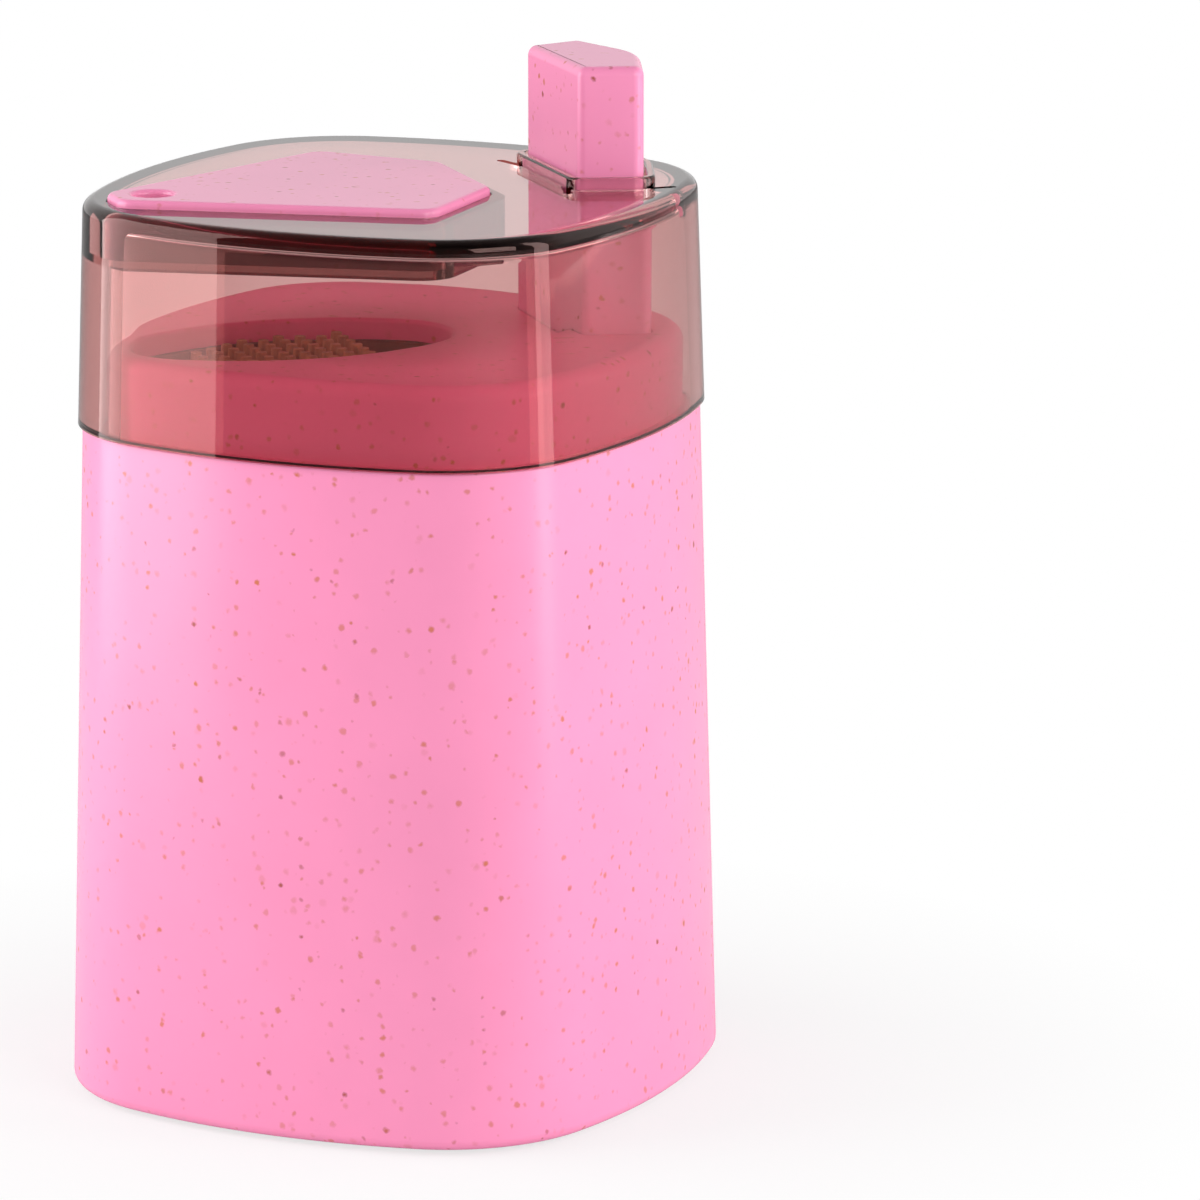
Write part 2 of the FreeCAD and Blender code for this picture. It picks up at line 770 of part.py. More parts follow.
def make_rings(name, place, height, pin_radius):
    """Two retaining rings on a cross pin, outside the lever's arms."""
    body = new_body(name)
    inner_face = arm_outer + s.clip_gap
    outer_face = inner_face + s.clip_wall
    for label, plane in (("left", -outer_face), ("right", inner_face)):
        ring = new_sketch(body, f"{name}_{label}", plane, "XZ_Plane")
        draw_circle(ring, place, height, s.clip_radius)
        draw_circle(ring, place, height, pin_radius + s.fit_gap)
        pad(body, ring, s.clip_wall)
    return body


def make_cross_pin(name, place, height, radius):
    """A steel pin along Y that runs through both arms and both rings."""
    body = new_body(name)
    length = 2 * (arm_outer + s.clip_gap + s.clip_wall + s.shaft_end)
    side_bar(body, f"{name}_round", place, height, radius, length)
    return body


# Lever, saddle and lifter

def make_rocker_bracket():
    """The saddle on the bottom cover, its two uprights carrying the axle."""
    body = new_body("rocker_bracket")
    left = s.shaft_place - s.upright_half
    right = s.shaft_place + s.upright_half
    foot = new_sketch(body, "saddle", plate_top)
    draw_rectangle(foot, left, right, -upright_outer, upright_outer)
    pad(body, foot, s.saddle_wall)
    sides = new_sketch(body, "uprights", plate_top)
    draw_rectangle(sides, left, right, upright_inner, upright_outer)
    draw_rectangle(sides, left, right, -upright_outer, -upright_inner)
    pad(body, sides, s.shaft_height + s.upright_rise - plate_top)
    side_hole(body, "axle_holes", s.shaft_place, s.shaft_height, s.shaft_radius + s.fit_gap,
              2 * (upright_outer + s.overrun))
    pocket_circles(body, "saddle_screw_holes", saddle_top, saddle_screw_places(),
                   s.small_screw_radius + s.screw_hole_gap, s.saddle_wall)
    return body


def make_rocker_frame():
    """The fork lever: two arms joined by a web, with inward stub pins for the lifter."""
    body = new_body("rocker_frame")
    web_place = s.shaft_place + s.web_place * swing_cosine
    web_height = s.shaft_height + s.web_place * swing_sine
    side_bar(body, "web", web_place, web_height, s.web_radius, 2 * arm_inner + s.arm_wall)
    pin_boss = (pin_near, pin_height, s.pin_radius + s.pin_boss_wall)
    shaft_boss = (s.shaft_place, s.shaft_height, s.shaft_radius + s.shaft_boss_wall)
    link_boss = (link_near, link_height, s.link_radius + s.link_boss_wall)
    for label, plane in (("near", arm_inner), ("far", -arm_outer)):
        arm = new_sketch(body, f"arm_{label}", plane, "XZ_Plane")
        draw_hull(arm, [pin_boss, shaft_boss, link_boss, shaft_boss])
        pad(body, arm, s.arm_wall)
    stub_length = arm_inner - cheek_inner
    for label, plane in (("near", arm_inner), ("far", -arm_inner)):
        stub = new_sketch(body, f"stub_{label}", plane, "XZ_Plane")
        draw_circle(stub, pin_near, pin_height, s.pin_radius)
        pad(body, stub, stub_length, down=(label == "near"))
    length = 2 * (arm_outer + s.overrun)
    side_hole(body, "shaft_holes", s.shaft_place, s.shaft_height, s.shaft_radius + s.shaft_gap, length)
    side_hole(body, "link_holes", link_near, link_height, s.link_radius + s.fit_gap, length)
    return body


def make_lifter():
    """The bar under the pick, with two slotted cheeks for the lever's stub pins."""
    body = new_body("lifter")
    bar_left = -s.exit_place - s.lifter_width / 2
    bar_right = -s.exit_place + s.lifter_width / 2
    rim = s.pin_radius + s.slot_gap + s.cheek_rim
    cheek_front = pin_far - rim
    cheek_back = pin_near + rim
    root = cheek_front + s.lifter_root
    corner = s.lifter_corner_spread
    bar = new_sketch(body, "bar", lifter_bottom)
    draw_polygon(bar, [
        (bar_left, -corner), (cheek_front, -cheek_outer), (root, -cheek_outer), (root, -cheek_inner),
        (bar_right, -corner), (bar_right, corner), (root, cheek_inner), (root, cheek_outer),
        (cheek_front, cheek_outer), (bar_left, corner),
    ])
    pad(body, bar, s.lifter_wall)
    cheeks = new_sketch(body, "cheeks", lifter_bottom)
    draw_rectangle(cheeks, cheek_front, cheek_back, cheek_inner, cheek_outer)
    draw_rectangle(cheeks, cheek_front, cheek_back, -cheek_outer, -cheek_inner)
    pad(body, cheeks, pin_height + rim - lifter_bottom)
    slots = new_sketch(body, "cheek_slots", ZERO, "XZ_Plane")
    slot_radius = s.pin_radius + s.slot_gap
    draw_hull(slots, [(pin_far, pin_height, slot_radius), (pin_near, pin_height, slot_radius)])
    pocket(body, slots, 2 * (cheek_outer + s.overrun), both=True)
    pocket_circles(body, "pick_cup", s.floor_height, [(-s.exit_place, ZERO)], s.cup_radius, s.cup_depth)
    return body


# Hopper and picks

def make_hopper():
    """The cup of picks: a narrow throat at the exit corner, a sloped floor, a funnel and two screw ears."""
    body = new_body("hopper")
    pad_hull(body, "cup", hopper_bottom, HOPPER, s.hopper_wall, hopper_top - hopper_bottom)
    funnel = new_sketch(body, "funnel", flange_under)
    draw_oval(funnel, -s.opening_place, s.opening_length, s.opening_width, s.opening_end_radius, s.funnel_grow)
    pad(body, funnel, hopper_top - flange_under)
    ears = new_sketch(body, "ears", flange_under)
    half = s.ear_length / 2
    draw_rectangle(ears, -s.ear_place - half, half - s.ear_place, -s.ear_reach, s.ear_reach)
    pad(body, ears, s.flange_wall)
    tray = new_sketch(body, "funnel_inside", flange_top)
    draw_oval(tray, -s.opening_place, s.opening_length, s.opening_width, s.opening_end_radius,
              s.funnel_grow - s.funnel_wall)
    pocket(body, tray, hopper_top - flange_top + s.overrun, up=True)
    cut_sloped_void(body)
    bar_passage = new_sketch(body, "bar_passage", ZERO, "XZ_Plane")
    half_width = s.lifter_width / 2 + s.lifter_gap
    draw_rectangle(bar_passage, -s.exit_place - half_width, half_width - s.exit_place,
                   lifter_bottom - s.lifter_gap, s.floor_height + lift_travel + s.lifter_gap)
    pocket(body, bar_passage, 2 * cheek_inner, both=True)
    pocket_circles(body, "ear_holes", flange_under, ear_screw_places(),
                   s.small_screw_radius + s.screw_hole_gap, s.flange_wall, up=True)
    return body


def cut_sloped_void(body):
    """Cut the inside of the cup upwards from a floor that falls towards the throat."""
    slope_tangent = s.floor_slope.sine() / s.floor_slope.cosine()
    height = s.floor_height + s.exit_place * slope_tangent
    sketch = new_sketch(body, "cup_inside", height)
    tilt = FreeCAD.Rotation(Vector(0, -1, 0), s.floor_slope.value)
    sketch.AttachmentOffset = FreeCAD.Placement(Vector(0, 0, height.value), tilt)
    sketch.setExpression("AttachmentOffset.Rotation.Angle", s.floor_slope.formula)
    draw_hull(sketch, HOPPER)
    feature = body.newObject("PartDesign::Pocket", "cup_inside_pocket")
    feature.Profile = sketch
    feature.UseCustomVector = True
    feature.Direction = Vector(0, 0, 1)
    bind(feature, "Length", hopper_top - s.floor_height + s.overrun)
    document.recompute()


def stock_places():
    """Places of the standing picks: a hexagonal packing kept clear of the walls and of the served pick."""
    margin = s.pick_radius.value + s.pick_gap.value
    circles = [(across.value, along.value, radius.value) for across, along, radius in HOPPER]

    def stands_clear(across, along):
        for index, (x, y, radius) in enumerate(circles):
            next_x, next_y, next_radius = circles[(index + 1) % len(circles)]
            heading = math.atan2(next_y - y, next_x - x)
            distance = math.hypot(next_x - x, next_y - y)
            normal = heading - math.acos((radius - next_radius) / distance)
            depth = radius - (across - x) * math.cos(normal) - (along - y) * math.sin(normal)
            if depth < margin:
                return False
        back_x = -s.back_place.value
        beside = max(abs(along) - s.back_spread.value, 0)
        return across < back_x or math.hypot(across - back_x, beside) < s.back_radius.value - margin

    places = []
    step = s.pick_pitch * Size.of(3).root() / 2
    start = s.pick_pitch - s.exit_place
    row = 0
    while (start + step * row).value < -s.stock_front.value:
        across = start + step * row
        shift = 0.5 * (row % 2)
        count = int(hopper_half.value / s.pick_pitch.value) + 1
        for index in range(-count, count + 1):
            along = s.pick_pitch * (index + shift)
            if stands_clear(across.value, along.value):
                places.append((across, along))
        row += 1
    return places


def make_pick():
    """One pick on the Z axis, pointed at both ends, its lower point at the origin."""
    shaft = document.addObject("Part::Cylinder", "pick_shaft")
    bind(shaft, "Radius", s.pick_radius)
    bind(shaft, "Height", pick_length - 2 * s.pick_point)
    bind(shaft, "Placement.Base.z", s.pick_point)
    lower = document.addObject("Part::Cone", "pick_lower_point")
    bind(lower, "Radius1", s.pick_point_radius)
    bind(lower, "Radius2", s.pick_radius)
    bind(lower, "Height", s.pick_point)
    upper = document.addObject("Part::Cone", "pick_upper_point")
    bind(upper, "Radius1", s.pick_radius)
    bind(upper, "Radius2", s.pick_point_radius)
    bind(upper, "Height", s.pick_point)
    bind(upper, "Placement.Base.z", pick_length - s.pick_point)
    pick = document.addObject("Part::MultiFuse", "pick")
    pick.Shapes = [shaft, lower, upper]
    document.recompute()
    return pick


def place_picks(name, pick, places):
    """A group of equal picks, each a link to the same one."""
    links = []
    for index, (across, along, height) in enumerate(places):
        link = document.addObject("App::Link", f"{name}_{index}")
        link.LinkedObject = pick
        for axis, size in (("x", across), ("y", along), ("z", height)):
            link.setExpression(f"Placement.Base.{axis}", size.formula)
        links.append(link)
    group = document.addObject("Part::Compound", name)
    group.Label = name
    group.Links = links
    document.recompute()
    return group


def make_toothpick_stock(pick):
    slope_tangent = s.floor_slope.sine() / s.floor_slope.cosine()
    places = []
    for across, along in stock_places():
        floor = s.floor_height + (across + s.exit_place) * slope_tangent
        places.append((across, along, floor + s.seat_gap))
    print("picks in the hopper:", len(places))
    return place_picks("toothpick_stock", pick, places)


def make_served_toothpick(pick):
    height = s.floor_height - s.cup_depth + s.seat_gap
    return place_picks("served_toothpick", pick, [(-s.exit_place, ZERO, height)])


# Post and spring

def make_press_post():
    """The press post: a cored head that shows above the deck, a stop flange, and a slotted stem."""
    body = new_body("press_post")
    pad_hull(body, "head", head_bottom, POST, ZERO, post_height - head_bottom)
    round_edges(body, lies_at(post_height), s.post_top_round)
    pad_hull(body, "stop_flange", head_bottom, POST, s.post_flange, s.post_flange_wall)
    cores = new_sketch(body, "head_cores", head_bottom)
    face = s.post_face_place - s.post_face_radius + s.post_skin
    side = s.post_face_spread + s.post_face_radius - s.post_skin
    draw_rectangle(cores, face, s.post_back_place, s.stem_width / 2, side)
    draw_rectangle(cores, face, s.post_back_place, -side, -s.stem_width / 2)
    pocket(body, cores, post_height - s.post_roof - head_bottom, up=True)
    stem = new_sketch(body, "stem", stem_bottom)
    draw_rectangle(stem, stem_place - stem_half, stem_place + stem_half, -s.stem_width / 2, s.stem_width / 2)
    pad(body, stem, post_flange_top - stem_bottom)
    centre = [(stem_place, ZERO)]
    pad_circles(body, "spring_seat", stem_bottom, centre, s.stem_foot_radius, s.stem_foot_wall)
    pad_circles(body, "spring_spigot", stem_bottom, centre, s.peg_radius, s.spigot_height, down=True)
    slot = new_sketch(body, "link_slot", ZERO, "XZ_Plane")
    radius = s.link_radius + s.slot_gap
    draw_hull(slot, [(link_near, link_height, radius), (link_far, link_height, radius)])
    pocket(body, slot, 2 * s.stem_foot_radius + s.overrun, both=True)
    return body


def make_return_spring():
    """The coil spring between the peg and the post's foot, swept along half-turn pairs of arcs."""
    low = (plate_top + s.seat_gap + s.spring_wire).value
    high = (stem_bottom - s.seat_gap - s.spring_wire).value
    radius = s.spring_radius.value
    turns = SIZES["spring_turns"]
    steps = 4 * turns
    rise = (high - low) / steps
    centre = Vector(stem_place.value, 0, 0)

    def on_helix(step):
        angle = step * math.pi / 2
        return centre + Vector(radius * math.cos(angle), radius * math.sin(angle), low + rise * step)

    def heading(step):
        angle = step * math.pi / 2
        quarter = radius * math.pi / 2
        direction = Vector(-math.sin(angle) * quarter, math.cos(angle) * quarter, rise)
        return direction.normalize()

    arcs = []
    for step in range(steps):
        arcs.extend(biarc(on_helix(step), heading(step), on_helix(step + 1), heading(step + 1)))
    path = Part.Wire([arc.toShape() for arc in arcs])
    start_circle = Part.Circle(on_helix(0), heading(0), s.spring_wire.value)
    sweep = Part.BRepOffsetAPI.MakePipeShell(path)
    sweep.add(Part.Wire([start_circle.toShape()]))
    sweep.build()
    sweep.makeSolid()
    spring = document.addObject("Part::Feature", "return_spring")
    spring.Label = "return_spring"
    spring.Shape = sweep.shape()
    gap = 4 * rise - 2 * s.spring_wire.value
    print("least gap between the spring's turns:", round(gap, 2), "mm")
    return spring


def biarc(start, start_heading, end, end_heading):
    """Two arcs that join two points with given headings."""
    chord = end - start
    both = start_heading + end_heading
    square = 2 * (1 - start_heading.dot(end_heading))
    along = chord.dot(both)
    reach = (math.sqrt(along * along + square * chord.dot(chord)) - along) / square
    first_corner = start + start_heading * reach
    second_corner = end - end_heading * reach
    middle = (first_corner + second_corner) * 0.5
    arcs = []
    for near, corner, far in ((start, first_corner, middle), (middle, second_corner, end)):
        arcs.append(arc_through_corner(near, corner, far))
    return arcs


def arc_through_corner(near, corner, far):
    """The arc from near to far whose end tangents meet in the corner."""
    back = (near - corner).normalize()
    ahead = (far - corner).normalize()
    half_angle = math.acos(max(-1.0, min(1.0, back.dot(ahead)))) / 2
    length = (near - corner).Length
    radius = length * math.tan(half_angle)
    bisector = (back + ahead).normalize()
    centre = corner + bisector * (radius / math.sin(half_angle))
    return Part.Arc(near, centre - bisector * radius, far)


# Lid

def make_lid_shell():
    """The transparent lid, with the petal's collar, the lip round the post and four slots beside it."""
    body = new_body("lid_shell")
    outside = new_sketch(body, "lid_outside", s.seam_height)
    draw_outline(outside, lid_inset)
    pad(body, outside, s.lid_height, draft=lid_draft)
    round_edges(body, lies_at(lid_top), s.lid_round)
    inside = new_sketch(body, "lid_inside", s.seam_height)
    draw_outline(inside, lid_inset + s.lid_wall)
    pocket(body, inside, s.lid_height - s.lid_roof, up=True, draft=lid_draft)
    collar_length = lid_under - collar_bottom + s.lid_roof / 2
    pad_hull(body, "collar", collar_bottom, PETAL, s.petal_gap + s.collar_wall, collar_length)
    pocket_hull(body, "petal_seat", skirt_bottom, PETAL, s.petal_gap, lid_top - skirt_bottom + s.overrun)
    pocket_hull(body, "collar_hole", collar_bottom, PETAL, s.petal_gap - s.collar_ledge,
                s.collar_ledge_wall + s.overrun)
    cut_lip_slots(body)
    lip_length = s.lid_roof + s.lip_rise
    pad_hull(body, "post_lip", lid_under, POST, s.post_hole_gap + s.lip_wall, lip_length)
    pocket_hull(body, "post_hole", lid_under, POST, s.post_hole_gap, lip_length + s.overrun)
    return body


def cut_lip_slots(body):
    """Four slots through the roof beside the lip, two at the post's face and two at its back."""
    slots = new_sketch(body, "lip_slots", lid_under)
    for side in (1, -1):
        ends = [
            (s.front_slot_place, s.front_slot_spread * side, s.slot_radius),
            (s.front_slot_place + s.front_slot_run, (s.front_slot_spread - s.front_slot_rise) * side,
             s.slot_radius),
        ]
        draw_hull(slots, ends)
        ends = [
            (s.back_slot_place, s.back_slot_spread * side, s.slot_radius),
            (s.back_slot_place + s.back_slot_run, s.back_slot_spread * side, s.slot_radius),
        ]
        draw_hull(slots, ends)
    pocket(body, slots, s.lid_roof + s.overrun, up=True)


def make_petal_cap():
    """The five-sided cap set in the lid, with the exit hole and its tube at the tip."""
    body = new_body("petal_cap")
    height = petal_top - skirt_bottom
    pad_hull(body, "cap", skirt_bottom, PETAL, ZERO, height)
    round_edges(body, lies_at(petal_top), s.petal_edge_round)
    pocket_hull(body, "cap_inside", skirt_bottom, PETAL, -s.petal_wall, height - s.petal_roof)
    exit_centre = [(-s.exit_place, ZERO)]
    tube_radius = s.exit_radius + s.exit_tube_wall
    pad_circles(body, "exit_tube", skirt_bottom, exit_centre, tube_radius, height - s.petal_roof / 2)
    pocket_circles(body, "exit_hole", skirt_bottom, exit_centre, s.exit_radius, height + s.overrun, up=True)
    at_top = lies_at(petal_top)
    middle = Vector(-s.exit_place.value, 0, petal_top.value)

    def rims_exit(edge):
        return at_top(edge) and (edge.BoundBox.Center - middle).Length < s.exit_radius.value / 2

    round_edges(body, rims_exit, s.exit_round)
    return body


# The whole object

def check_and_export(pieces):
    """Stop on any object in error or any bad shape, then write one STEP file for each piece."""
    document.recompute()
    for thing in document.Objects:
        if "Invalid" in thing.State or "Error" in thing.State:
            raise ValueError(f"{thing.Name} is in error: {thing.State}")
    os.makedirs("parts", exist_ok=True)
    for piece in pieces:
        shape = piece.Shape
        if shape.isNull() or not shape.isValid() or not shape.Solids:
            raise ValueError(f"{piece.Label} has a bad shape")
        shape.exportStep(f"parts/{piece.Label}.step")
        box = shape.BoundBox
        print(f"{piece.Label}: {len(shape.Solids)} solids, {len(shape.Faces)} faces, "
              f"x {box.XMin:.2f} {box.XMax:.2f}, y {box.YMin:.2f} {box.YMax:.2f}, "
              f"z {box.ZMin:.2f} {box.ZMax:.2f}, {shape.Volume:.0f} mm3")


def main():
    pick = make_pick()
    pieces = [
        make_outer_body(),
        make_base_plate(),
        make_base_screws(),
        make_rubber_feet(),
        make_neck_deck(),
        make_hopper(),
        make_hopper_screws(),
        make_toothpick_stock(pick),
        make_rocker_bracket(),
        make_bracket_screws(),
        make_cross_pin("rocker_shaft", s.shaft_place, s.shaft_height, s.shaft_radius),
        make_rings("shaft_clips", s.shaft_place, s.shaft_height, s.shaft_radius),
        make_press_post(),
        make_return_spring(),
        make_rocker_frame(),
        make_cross_pin("link_pin", link_near, link_height, s.link_radius),
        make_rings("link_clips", link_near, link_height, s.link_radius),
        make_lifter(),
        make_served_toothpick(pick),
        make_lid_shell(),
        make_petal_cap(),
    ]
    check_and_export(pieces)


main()
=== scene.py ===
"""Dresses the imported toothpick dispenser: its shells, lid, post, spring and picks, their finishes and a stage.

Metres, +Z up. +X runs from the exit hole's corner to the press post's corner.
"""
import math

import bmesh
import bpy
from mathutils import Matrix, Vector


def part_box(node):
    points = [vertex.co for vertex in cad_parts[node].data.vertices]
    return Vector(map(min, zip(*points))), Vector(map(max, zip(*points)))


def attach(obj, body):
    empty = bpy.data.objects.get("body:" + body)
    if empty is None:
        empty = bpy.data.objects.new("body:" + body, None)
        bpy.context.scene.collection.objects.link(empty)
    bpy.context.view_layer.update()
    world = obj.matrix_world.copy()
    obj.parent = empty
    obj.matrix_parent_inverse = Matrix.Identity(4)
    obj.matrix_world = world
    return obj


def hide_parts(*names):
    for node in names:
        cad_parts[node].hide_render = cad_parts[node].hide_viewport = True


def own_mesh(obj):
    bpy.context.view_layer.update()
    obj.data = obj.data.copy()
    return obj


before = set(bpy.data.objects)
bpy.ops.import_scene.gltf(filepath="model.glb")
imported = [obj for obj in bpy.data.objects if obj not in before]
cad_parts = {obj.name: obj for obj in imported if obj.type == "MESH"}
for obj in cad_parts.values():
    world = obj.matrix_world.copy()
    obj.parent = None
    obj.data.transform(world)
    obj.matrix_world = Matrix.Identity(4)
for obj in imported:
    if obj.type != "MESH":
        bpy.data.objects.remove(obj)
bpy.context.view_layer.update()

bl_info = {
    "name": "Toothpick Dispenser",
    "version": (1, 0, 0),
    "blender": (4, 5, 0),
    "location": "View3D > Sidebar > Dispenser",
    "description": "Makes the visible pieces, finishes and stage of a press-type toothpick dispenser",
    "category": "Object",
}

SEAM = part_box("outer_body")[1].z
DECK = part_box("neck_deck")[1].z
NECK_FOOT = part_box("neck_deck")[0].z
POST_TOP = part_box("press_post")[1].z
LIP_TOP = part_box("lid_shell")[1].z
PETAL_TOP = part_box("petal_cap")[1].z
PETAL_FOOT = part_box("petal_cap")[0].z
BODY_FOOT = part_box("outer_body")[0].z
MM = 0.001


# Sizes and colours

def length(description, millimetres):
    return bpy.props.FloatProperty(description=description, default=millimetres * MM,
                                   subtype="DISTANCE", unit="LENGTH", precision=5)


def colour(description, default):
    return bpy.props.FloatVectorProperty(description=description, default=default, size=3,
                                         min=0.0, max=1.0, subtype="COLOR")


def share(description, default):
    return bpy.props.FloatProperty(description=description, default=default, min=0.0, max=1.0,
                                   subtype="FACTOR")


def angle(description, degrees):
    return bpy.props.FloatProperty(description=description, default=math.radians(degrees),
                                   subtype="ANGLE", unit="ROTATION")


def power(description, watts):
    return bpy.props.FloatProperty(description=description, default=watts, min=0.0,
                                   subtype="POWER", unit="POWER")


def number(description, default):
    return bpy.props.FloatProperty(description=description, default=default, min=0.0)


class DISPENSER_PG_body(bpy.types.PropertyGroup):
    base_half: length("Half the width across the flats at the bottom", 31.0)
    side_radius: length("Bulge of the four sides in plan", 67.0)
    corner_radius: length("Corner arcs in plan at the bottom", 17.6)
    seam_inset: length("How far the walls lean in from the bottom to the seam", 1.9)
    wall: length("Wall of the body", 2.4)
    bottom_round: length("Rounding of the bottom edge", 1.2)
    seam_round: length("Rounding of the body's upper edge", 0.35)
    rim_wall: length("Wall round the neck's socket", 1.8)
    socket_gap: length("Clearance of the neck's plug", 0.1)
    neck_inset: length("Step from the seam in to the neck", 2.6)
    neck_wall: length("Wall of the neck", 1.8)
    deck_wall: length("Thickness of the deck", 2.2)
    deck_round: length("Rounding of the deck's outer edge", 1.6)
    opening_place: length("Distance of the opening's centre towards -X", 10.8)
    opening_length: length("Length of the oval opening", 33.6)
    opening_width: length("Width of the oval opening", 20.4)
    opening_end_radius: length("Radius of the oval's ends", 7.4)
    opening_round: length("Rounding of the opening's edge", 0.5)


class DISPENSER_PG_lid(bpy.types.PropertyGroup):
    inset: length("From the body's base outline in to the lid's foot", 1.45)
    lean: length("How far the lid's walls lean in up to the top", 0.75)
    height: length("Height of the lid without its lip", 23.2)
    wall: length("Wall of the lid", 2.3)
    roof: length("Thickness of the lid's roof", 2.0)
    edge_round: length("Rounding of the lid's upper edge", 1.3)
    inner_round: length("Rounding inside the lid's upper edge", 0.8)
    petal_gap: length("Clearance round the petal cap", 0.12)
    seat_round: length("Rounding of the lid's edge round the petal", 0.15)
    petal_wall: length("Skirt of the petal cap", 1.2)
    petal_roof: length("Roof of the petal cap", 2.0)
    petal_round: length("Rounding of the petal's upper edge", 0.6)
    collar_wall: length("Wall of the collar under the petal", 1.4)
    collar_depth: length("Depth of the collar below the lid's top", 6.0)
    ledge: length("Width of the ledge that the petal sits on", 0.9)
    exit_place: length("Distance of the exit hole towards -X", 25.5)
    exit_radius: length("Radius of the exit hole", 2.1)
    exit_round: length("Rounding of the exit hole's edge", 0.5)
    exit_tube_wall: length("Wall of the tube under the exit hole", 0.8)
    hole_gap: length("Clearance round the post", 0.3)
    lip_wall: length("Wall of the lip round the post", 0.9)
    lip_round: length("Rounding of the lip's upper edges", 0.25)


class DISPENSER_PG_post(bpy.types.PropertyGroup):
    head_depth: length("From the seam down to the foot of the post's head", 9.8)
    top_round: length("Rounding of the post's upper edge", 1.0)
    run_gap: length("Clearance of the post in the deck", 0.1)
    passage_round: length("Rounding of the deck round the post", 0.2)
    sleeve_wall: length("Wall of the sleeve under the deck", 1.4)
    flange: length("Width of the stop flange", 1.3)
    flange_wall: length("Thickness of the stop flange", 1.6)
    stem_length: length("Length of the stem's section along X", 8.2)
    stem_width: length("Width of the stem's section along Y", 5.0)
    stem_corner: length("Radius of the stem's corners", 0.3)
    stem_foot: length("From the link pin down to the stem's foot", 3.4)
    slot_gap: length("Clearance of the link pin in the slot", 0.25)
    slot_travel: length("How far the link pin slides along the slot", 1.22)
    seat_radius: length("Radius of the spring's seat", 4.3)
    seat_wall: length("Thickness of the spring's seat", 1.5)
    spigot_radius: length("Radius of the spigot inside the spring", 2.5)


class DISPENSER_PG_picks(bpy.types.PropertyGroup):
    length: length("Length of one pick", 65.0)
    radius: length("Radius of one pick", 1.0)
    point: length("Length of each pointed end", 5.0)
    point_radius: length("Radius of the blunted tip", 0.55)


class DISPENSER_PG_spring(bpy.types.PropertyGroup):
    radius: length("Radius of the coil at the wire's centre", 3.4)
    wire: length("Radius of the wire", 0.4)
    turns: bpy.props.IntProperty(description="Turns of the coil", default=8, min=3)


class DISPENSER_PG_finish(bpy.types.PropertyGroup):
    pink: colour("The moulded pink plastic", (0.87, 0.268, 0.468))
    # Painted shade: the neck's pink is the body's plastic made deeper and redder, standing in for the dimmer
    # light under the lid.
    pink_shaded_neck: colour("The same plastic where it stands inside the lid", (0.90, 0.18, 0.355))
    speck_dark: colour("The darkest specks", (0.33, 0.06, 0.03))
    speck_warm: colour("The orange-brown specks", (0.58, 0.15, 0.07))
    smoke: colour("Tint that the transparent lid lets through", (0.66, 0.222, 0.195))
    # Painted shade: a darker tint laid on the collar's faces, standing in for the shade under the lid's roof.
    collar: colour("Deeper tint of the collar's thick wall", (0.32, 0.20, 0.19))
    smoke_depth: number("How fast the lid's tint deepens, per metre", 300.0)
    brown: colour("The hopper's plastic", (0.28, 0.085, 0.04))
    white: colour("The lever's plastic", (0.80, 0.79, 0.75))
    steel: colour("Screws, pins and spring", (0.56, 0.57, 0.58))
    rubber: colour("The feet", (0.035, 0.035, 0.037))
    wood: colour("The picks", (0.66, 0.29, 0.13))
    gloss: share("Roughness of the pink plastic", 0.26)


class DISPENSER_PG_stage(bpy.types.PropertyGroup):
    azimuth: angle("Camera's turn from looking along +Y", 20.13)
    elevation: angle("Camera's height as an angle", 13.15)
    distance: length("From the camera to what it looks at", 814.6)
    aim_right: length("How far right of the object the camera looks", 21.2)
    aim_height: length("Height that the camera looks at", 49.8)
    lens: number("Focal length in millimetres", 236.6)
    fill: number("World light on the object", 0.71)
    lid_fill: number("World light under the transparent lid", 1.5)
    room: share("Brightness of the room behind the camera in reflections", 0.2)
    ceiling: share("Brightness of the ceiling in reflections", 0.3)
    left_strip: power("Power of the wide lamp on the left", 1.12)
    right_strip: power("Power of the strip lamp on the right", 0.27)
    front: power("Power of the large lamp over the camera", 3.0)
    right_fill: power("Power of the soft lamp on the right that shows in no reflection", 1.4)
    left_bearing: angle("Turn of the left lamp from the camera's side", -85.6)
    right_bearing: angle("Turn of the right strip lamp from the camera's side", 72.0)
    strip_distance: length("From the object's axis to the strip lamps", 290.0)
    left_width: length("Width of the left lamp", 288.0)
    right_width: length("Width of the right strip lamp", 65.0)
    strip_height: length("Height of the strip lamps from the floor", 350.0)


GROUPS = {
    "dispenser_body": DISPENSER_PG_body,
    "dispenser_lid": DISPENSER_PG_lid,
    "dispenser_post": DISPENSER_PG_post,
    "dispenser_picks": DISPENSER_PG_picks,
    "dispenser_spring": DISPENSER_PG_spring,
    "dispenser_finish": DISPENSER_PG_finish,
    "dispenser_stage": DISPENSER_PG_stage,
}


def settings(name):
    return getattr(bpy.context.scene, f"dispenser_{name}")


# Corners of the convex plans in millimetres: distance along X, distance along Y and radius. Those of the petal
# are on its -Y side only.
PETAL_CORNERS = ((-27.6, -1.3, 2.2), (-2.4, -16.0, 2.2), (5.8, -7.0, 2.2))
POST_CORNERS = ((18.3, -7.3, 0.9), (23.0, -8.3, 1.2), (17.5, 0.0, 9.0), (23.0, 8.3, 1.2), (18.3, 7.3, 0.9))
SLOT_ENDS = (((15.4, 10.2), (16.4, 6.6)), ((24.6, 10.4), (26.6, 10.4)))
SLOT_RADIUS = 0.45
SIDE_STEPS = 28
CORNER_STEPS = 24
LONG_SIDE_STEPS = 36

# Turns of the return spring that lie closed at each end, those over which it then opens, and the pitch of
# the closed ones in radii of its wire
CLOSED_TURNS = 0.7
OPENING_TURNS = 0.5
CLOSED_PITCH = 2.1
SPRING_STEPS = 40
WIRE_SIDES = 12

